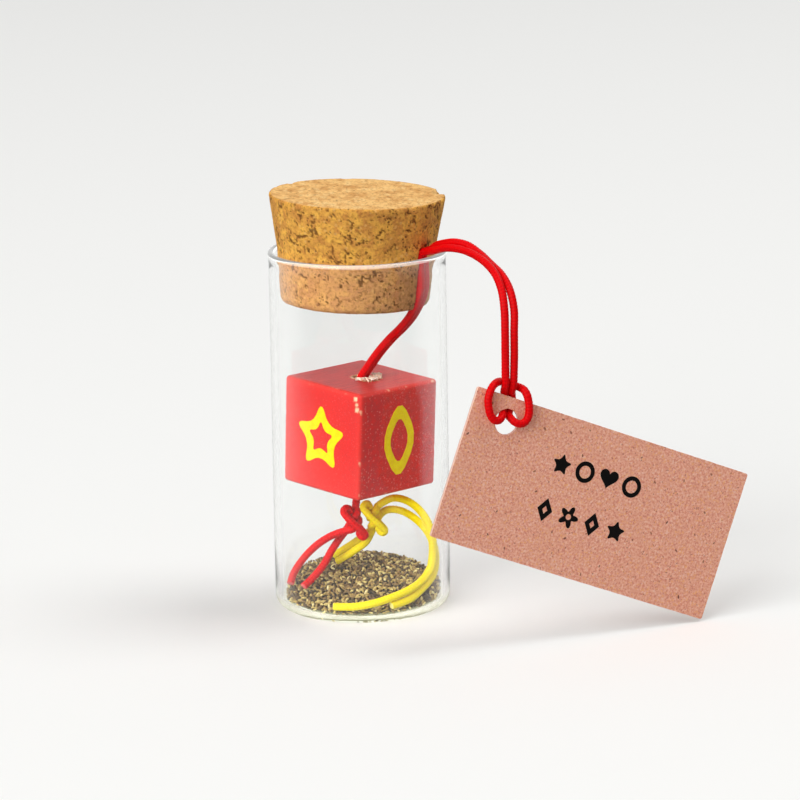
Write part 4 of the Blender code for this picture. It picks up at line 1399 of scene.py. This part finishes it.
seedPlan = {
    "reach": 11.2 * mm,
    "under": 0.85 * mm,
    "level": 2.75 * mm,
    "slope": 0.2,             # the heap rises to the back
    "crown": 1.5 * mm,
    "drift": 2.0 * mm,        # a drift of seeds stands against the wall on the right
    "driftSpread": 3.5 * mm,
    "driftPlace": (11.0 * mm, -4.0 * mm),
    "leastTop": 1.15 * mm,
    "heapDown": 0.5 * mm,     # the heap lies this far inside the seeds' outline
    "grainDown": 0.32 * mm,   # and the middles of the loose grains this far
    "ringShares": (0.2, 0.4, 0.6, 0.8, 0.92),
    "steps": 72,
    "density": 1.2e7,         # per square metre
    "leastGap": 0.41 * mm,
    "length": 0.88 * mm,
    "width": 0.42 * mm,
    "thickness": 0.38 * mm,
    "tilt": 0.9,
    "lift": 0.0,
    "seed": 7,
    # the grains' colours, by how many have them
    "husks": ((0.0, linear(66, 58, 30)), (0.25, linear(110, 84, 48)), (0.5, linear(152, 124, 70)),
              (0.74, linear(190, 164, 92)), (0.9, linear(234, 214, 136)), (1.0, linear(246, 232, 168))),
    "huskPatch": linear(116, 98, 54),
    # painted shade: the heap is dark so that it reads as the shade in the gaps between the grains
    "heap": (linear(30, 24, 14), linear(74, 60, 36)),
}


def seedTop(x, y):
    plan = seedPlan
    crown = plan["crown"] * (1 - (x * x + y * y) / plan["reach"] ** 2)
    offX = x - plan["driftPlace"][0]
    offY = y - plan["driftPlace"][1]
    drift = plan["drift"] * math.exp(-(offX * offX + offY * offY) / (2 * plan["driftSpread"] ** 2))
    return max(plan["leastTop"], plan["level"] + plan["slope"] * y + crown + drift)


def makeSeedBase(name, shrink):
    # the heap under the loose grains: a closed dome with a short wall
    plan = seedPlan
    reach = plan["reach"] - shrink
    low = plan["under"] + 0.1 * mm
    profile = [(0.0, 1.0)] + [(reach * share, 1.0) for share in plan["ringShares"]]
    profile += [(reach, 1.0), (reach, 0.5), (reach, 0.0), (reach * 0.5, 0.0), (0.0, 0.0)]
    mesh = turnedMesh(name, profile, plan["steps"])
    heel = glassPlan["innerHeel"]
    for vertex in mesh.vertices:
        top = seedTop(vertex.co.x, vertex.co.y) - shrink
        vertex.co.z = low + (max(top, low + 0.1 * mm) - low) * vertex.co.z
        # the glass is rounded inside its heel, and the heap keeps clear of it
        deep = max(0.0, min(1.0, (glassPlan["base"] + heel - vertex.co.z) / heel))
        reachHere = math.hypot(vertex.co.x, vertex.co.y)
        most = reach - heel * (1 - math.sqrt(1 - deep * deep))
        if reachHere > most:
            vertex.co.x *= most / reachHere
            vertex.co.y *= most / reachHere
    return newObject(name, mesh)


def makeSeedMaterial():
    husks = seedPlan["husks"]
    material, tree, shader = newMaterial("seedHusk", linear(150, 130, 90), 0.6)
    ramp = addNode(tree, "ShaderNodeValToRGB")
    stops = ramp.color_ramp.elements
    for stop, (position, colour) in zip(stops, (husks[0], husks[-1])):
        stop.position = position
        stop.color = colour
    for position, colour in husks[1:-1]:
        stops.new(position).color = colour
    tree.links.new(attribute(tree, "tone"), ramp.inputs[0])
    patch, height = mottle(tree, objectPlace(tree), size=0.3, low=0.4, high=0.7)
    colour = tinted(tree, ramp.outputs[0], patch, 0.25, seedPlan["huskPatch"])
    tree.links.new(colour, shader.inputs["Base Color"])
    bumpFrom(tree, shader, height, distance=0.03 * mm, strength=0.4)
    return material


def makeHeapMaterial():
    # painted shade: the dark heap under the loose grains stands for the shade in their gaps
    material, tree, shader = newMaterial("seedHeapShade", linear(96, 80, 50), 0.9)
    patch, height = mottle(tree, objectPlace(tree), size=0.4, low=0.35, high=0.65)
    tree.links.new(mixColours(tree, patch, *seedPlan["heap"]), shader.inputs["Base Color"])
    bumpFrom(tree, shader, height, distance=0.2 * mm, strength=0.8)
    return material


seedHeap = makeSeedBase("seedHeap", seedPlan["heapDown"])
finished(seedHeap, "vial", "seeds", makeHeapMaterial(), "seed_bed")
grainBase = makeSeedBase("seedGrains", seedPlan["grainDown"])
withoutFaces(grainBase.data, lambda normal: normal.z < -0.5)   # no grains under the heap
seedHusk = makeSeedMaterial()
seedGrains = scattered(grainBase, seedPlan, seedHusk)
finished(seedGrains, "vial", "seeds", seedHusk)
print("seeds made:", len(seedGrains.data.polygons), "faces")


# The card tag and its marks

fleckPlan = {
    "density": 4.5e4,
    "leastGap": 2.2 * mm,
    "length": 0.48 * mm,
    "width": 0.26 * mm,
    "thickness": 0.02 * mm,
    "tilt": 0.05,
    "lift": 0.0,
    "seed": 4,
}
tagLooks = {   # the card's finish; its shape is in tagPlan, where the hitch needs it
    "card": (linear(255, 199, 172), linear(230, 142, 121)),
    "cardBroad": linear(236, 168, 134),
    # flecks in the pulp: size, reach, share, amount and colour
    "specks": ((0.36, 0.42, 0.3, 0.6, linear(248, 178, 116)),
               (0.3, 0.42, 0.35, 0.5, linear(210, 120, 110)),
               (0.42, 0.36, 0.3, 0.55, linear(255, 212, 192)),
               (0.3, 0.3, 0.07, 0.5, linear(150, 92, 76))),
    # painted highlight on the cut edges
    "core": linear(252, 214, 196),
    "fleck": (linear(134, 82, 66), linear(182, 118, 88)),
    "edgeStep": 0.35 * mm,
    "edgeRagged": 0.03 * mm,
    "edgeRaggedSize": 0.7 * mm,
    "holeSteps": 72,
    "holeRagged": 0.02,       # share of the hole's radius
}
inkPlan = {
    "thickness": 0.03 * mm,
    "firstRow": (14.0, 5.4, 29.4, 8.0),    # along and down from the top left corner, in mm
    "secondRow": (13.6, 12.0, 29.1, 14.6),
    "size": 1.5 * mm,
    "stroke": 0.6 * mm,
    "above": 0.006 * mm,      # the middle of the ink over the card's face
    "black": (linear(5, 3, 3), linear(36, 20, 16)),
}
tagPlace = Matrix.Translation(tagHole) @ tagPlane @ tagSwing


def makeTag():
    plan = tagPlan
    looks = tagLooks
    left = -plan["holeFromEnd"]
    right = plan["length"] - plan["holeFromEnd"]
    top = plan["holeFromTop"]
    bottom = top - plan["height"]
    radius = plan["cornerRadius"]
    corners = []
    for x, y, start in ((right - radius, top - radius, 0), (left + radius, top - radius, 90),
                        (left + radius, bottom + radius, 180), (right - radius, bottom + radius, 270)):
        corners += arc((x, y), radius, start, start + 90, 4)
    # the edge is pressed and a little ragged between the corners
    edge = []
    for i, corner in enumerate(corners):
        after = corners[(i + 1) % len(corners)]
        pieces = max(1, int(math.dist(corner, after) / looks["edgeStep"]))
        for k in range(pieces):
            x = corner[0] + (after[0] - corner[0]) * k / pieces
            y = corner[1] + (after[1] - corner[1]) * k / pieces
            ragged = noise.noise_vector(Vector((x, y, 0.0)) / looks["edgeRaggedSize"])
            shift = ragged * looks["edgeRagged"]
            edge.append((x + shift.x, y + shift.y))
    hole = []
    for i in range(looks["holeSteps"]):
        angle = 2 * math.pi * i / looks["holeSteps"]
        ragged = noise.noise(Vector((4 * math.cos(angle), 4 * math.sin(angle), 1)))
        reach = plan["holeDiameter"] / 2 * (1 + looks["holeRagged"] * ragged)
        hole.append((reach * math.cos(angle), reach * math.sin(angle)))
    tag = flatMark("tagCard", [edge, hole], plan["thickness"])
    tag.data.transform(Matrix.Rotation(math.radians(90), 4, "X"))
    layer = tag.data.attributes.new("cutEdge", "FLOAT", "FACE")
    onEdge = [1.0 if abs(face.normal.y) < 0.5 else 0.0 for face in tag.data.polygons]
    layer.data.foreach_set("value", onEdge)
    return tag


def makeTagMaterial():
    looks = tagLooks
    material, tree, shader = newMaterial("brownCard", linear(232, 168, 140), 0.85)
    place = objectPlace(tree, turn=tagPlace.to_3x3().to_euler())
    broad, _ = mottle(tree, place, size=3.0, low=0.3, high=0.7)
    fine, fineHeight = mottle(tree, place, size=0.32, low=0.38, high=0.62)
    colour = mixColours(tree, fine, *looks["card"])
    colour = tinted(tree, colour, broad, 0.35, looks["cardBroad"])
    for size, reach, share, amount, over in looks["specks"]:
        colour = tinted(tree, colour, specks(tree, place, size, reach, share), amount, over)
    # painted highlight: the cut edges, the hole's rim among them, are made paler
    colour = tinted(tree, colour, attribute(tree, "cutEdge"), 0.8, looks["core"])
    tree.links.new(colour, shader.inputs["Base Color"])
    bumpFrom(tree, shader, fineHeight, distance=0.05 * mm, strength=0.7)
    shader.inputs["Specular IOR Level"].default_value = 0.2
    return material


def makeFleckMaterial():
    material, tree, shader = newMaterial("cardFleck", linear(120, 76, 60), 0.9)
    tone = rescaled(tree, attribute(tree, "tone"), 0.3, 0.9)
    tree.links.new(mixColours(tree, tone, *tagLooks["fleck"]), shader.inputs["Base Color"])
    return material


def makeInk():
    material, tree, shader = newMaterial("blackInk", linear(22, 18, 18), 0.6)
    solid, worn = inkPlan["black"]
    thin, height = mottle(tree, objectPlace(tree), size=0.35, low=0.5, high=0.85)
    tree.links.new(tinted(tree, solid, thin, 0.35, worn), shader.inputs["Base Color"])
    bumpFrom(tree, shader, height, distance=0.02 * mm, strength=0.5)
    shader.inputs["Specular IOR Level"].default_value = 0.15
    return material


def makeInkMarks():
    # two short rows of plain ornaments
    size = inkPlan["size"]
    stroke = inkPlan["stroke"]
    shapes = {
        "Star": [softened(starCorners(size * 1.1, size * 0.5))],
        "Ring": [ringCorners(size), ringCorners(size - stroke)],
        "Heart": [heartCorners(size * 1.05)],
        "Diamond": [diamondCorners(size * 0.8, size * 1.1),
                    diamondCorners(size * 0.8 - stroke * 1.3, size * 1.1 - stroke * 1.8)],
        "Flower": [flowerCorners(size), ringCorners(size * 0.28, 20)],
    }
    rows = (("firstRow", ("Star", "Ring", "Heart", "Ring")),
            ("secondRow", ("Diamond", "Flower", "Diamond", "Star")))
    level = tagPlan["thickness"] / 2 + inkPlan["above"]
    upright = Matrix.Rotation(math.radians(90), 4, "X")
    marks = []
    for rowName, names in rows:
        low, high, far, deep = [v * mm for v in inkPlan[rowName]]
        y = tagPlan["holeFromTop"] - (high + deep) / 2
        for i, name in enumerate(names):
            x = low + (far - low) * (i + 0.5) / len(names) - tagPlan["holeFromEnd"]
            mark = flatMark("ink" + name + rowName[:1].upper() + str(i), shapes[name], inkPlan["thickness"])
            mark.data.transform(Matrix.Translation((x, y, level)))
            mark.data.transform(upright)
            mark.data.transform(tagPlace)
            marks.append(mark)
    return marks


tagCard = makeTag()
fleckBase = newObject("cardFlecks", tagCard.data.copy())
withoutFaces(fleckBase.data, lambda normal: abs(normal.y) < 0.9)   # no flecks on the cut edges
cardFleck = makeFleckMaterial()
cardFlecks = scattered(fleckBase, fleckPlan, cardFleck)
for piece in (tagCard, cardFlecks):
    piece.data.transform(tagPlace)
finished(tagCard, "tag", "brown_card", makeTagMaterial(), "gift_tag")
finished(cardFlecks, "tag", "brown_card", cardFleck)
ink = makeInk()
for mark in makeInkMarks():
    finished(mark, "tag", "brown_card", ink)
print("tag made")


# The floor, the lights and the world

stagePlan = {
    "floorColour": linear(246, 246, 244),
    "floorBounce": linear(178, 178, 176),   # what the floor lends to the pieces round it
    "floorDim": linear(90, 90, 90),         # what reflections see of the floor in front
    "floorSize": (-4, 4, -3, 6),            # from left to right and from front to back, in metres
    "ambientLow": 0.16,
    "ambientHigh": 0.43,
    "behind": 0.97,           # brightness seen in and through the glass
    "front": 0.1,
    "sidewaysFall": -0.27,    # how fast that brightness falls to the sides
    "aim": (0.0, 0.0, 0.03),
    "key": {"place": (-1.38, -1.7, 1.2), "size": 2.0, "power": 51.5},
    "top": {"place": (0.84, 0.06, 1.84), "size": 1.0, "power": 14.6},
}


def towardsBack(tree, place):
    # grows to the back and shrinks to both sides
    parts = addNode(tree, "ShaderNodeSeparateXYZ")
    aside = addNode(tree, "ShaderNodeMath", operation="ABSOLUTE")
    away = addNode(tree, "ShaderNodeMath", {1: stagePlan["sidewaysFall"]}, operation="MULTIPLY_ADD")
    linked(tree,
           (place, parts.inputs[0]),
           (parts.outputs["X"], aside.inputs[0]),
           (aside.outputs[0], away.inputs[0]),
           (parts.outputs["Y"], away.inputs[2]))
    return away.outputs[0]


def makeFloor():
    left, right, near, far = stagePlan["floorSize"]
    corners = [(left, near, 0), (right, near, 0), (right, far, 0), (left, far, 0)]
    floor = newObject("floor", meshFrom("floor", corners, [(0, 1, 2, 3)], smooth=False))
    plain = stagePlan["floorColour"]
    material, tree, shader = newMaterial("paleFloor", plain, 0.9)
    path = addNode(tree, "ShaderNodeLightPath")
    colour = mixColours(tree, path.outputs["Is Diffuse Ray"], plain, stagePlan["floorBounce"])
    # reflections show a dim floor in front and a bright one behind; straight through the glass it is plain
    where = addNode(tree, "ShaderNodeTexCoord")
    depth = rescaled(tree, towardsBack(tree, where.outputs["Object"]), -0.12, -0.02)
    seen = mixColours(tree, depth, stagePlan["floorDim"], plain)
    bounces = addNode(tree, "ShaderNodeMath", operation="ADD")
    bounced = addNode(tree, "ShaderNodeMath", {1: 0.5}, operation="GREATER_THAN")
    mirrored = addNode(tree, "ShaderNodeMath", operation="MULTIPLY")
    linked(tree,
           (path.outputs["Glossy Depth"], bounces.inputs[0]),
           (path.outputs["Diffuse Depth"], bounces.inputs[1]),
           (bounces.outputs[0], bounced.inputs[0]),
           (bounced.outputs[0], mirrored.inputs[0]),
           (path.outputs["Is Glossy Ray"], mirrored.inputs[1]))
    tree.links.new(mixColours(tree, mirrored.outputs[0], colour, seen), shader.inputs["Base Color"])
    shader.inputs["Specular IOR Level"].default_value = 0.0
    floor.data.materials.append(material)


def makeLamp(name):
    # a square soft light that looks at the vial
    plan = stagePlan[name]
    data = bpy.data.lights.new(name, "AREA")
    data.shape = "SQUARE"
    data.size = plan["size"]
    data.energy = plan["power"]
    lamp = newObject(name, data)
    lamp.location = plan["place"]
    ahead = Vector(stagePlan["aim"]) - Vector(plan["place"])
    lamp.rotation_euler = ahead.to_track_quat("-Z", "Y").to_euler()


def makeWorld():
    # soft light for the pieces; the glass sees a bright back and a dim front
    world = bpy.data.worlds.new("studio")
    bpy.context.scene.world = world
    world.use_nodes = True
    tree = world.node_tree
    back = tree.nodes["Background"]
    back.inputs["Color"].default_value = (1.0, 1.0, 1.0, 1.0)
    path = addNode(tree, "ShaderNodeLightPath")
    where = addNode(tree, "ShaderNodeTexCoord")
    split = addNode(tree, "ShaderNodeSeparateXYZ")
    depth = towardsBack(tree, where.outputs["Generated"])
    mirrored = rescaled(tree, depth, -0.25, 0.3, stagePlan["front"], stagePlan["behind"])
    through = addNode(tree, "ShaderNodeMix", {3: stagePlan["behind"]}, data_type="FLOAT")
    ambient = rescaled(tree, split.outputs["Z"], 0.4, 0.6, stagePlan["ambientLow"], stagePlan["ambientHigh"])
    bounced = addNode(tree, "ShaderNodeMath", {1: 0.5}, operation="GREATER_THAN")
    strength = addNode(tree, "ShaderNodeMix", data_type="FLOAT")
    linked(tree,
           (where.outputs["Generated"], split.inputs[0]),
           (path.outputs["Is Transmission Ray"], through.inputs[0]),
           (mirrored, through.inputs[2]),
           (path.outputs["Diffuse Depth"], bounced.inputs[0]),
           (bounced.outputs[0], strength.inputs[0]),
           (through.outputs[0], strength.inputs[2]),
           (ambient, strength.inputs[3]),
           (strength.outputs[0], back.inputs["Strength"]))


makeFloor()
makeLamp("key")
makeLamp("top")
makeWorld()
bpy.context.scene.view_settings.view_transform = "Standard"
print("stage made")
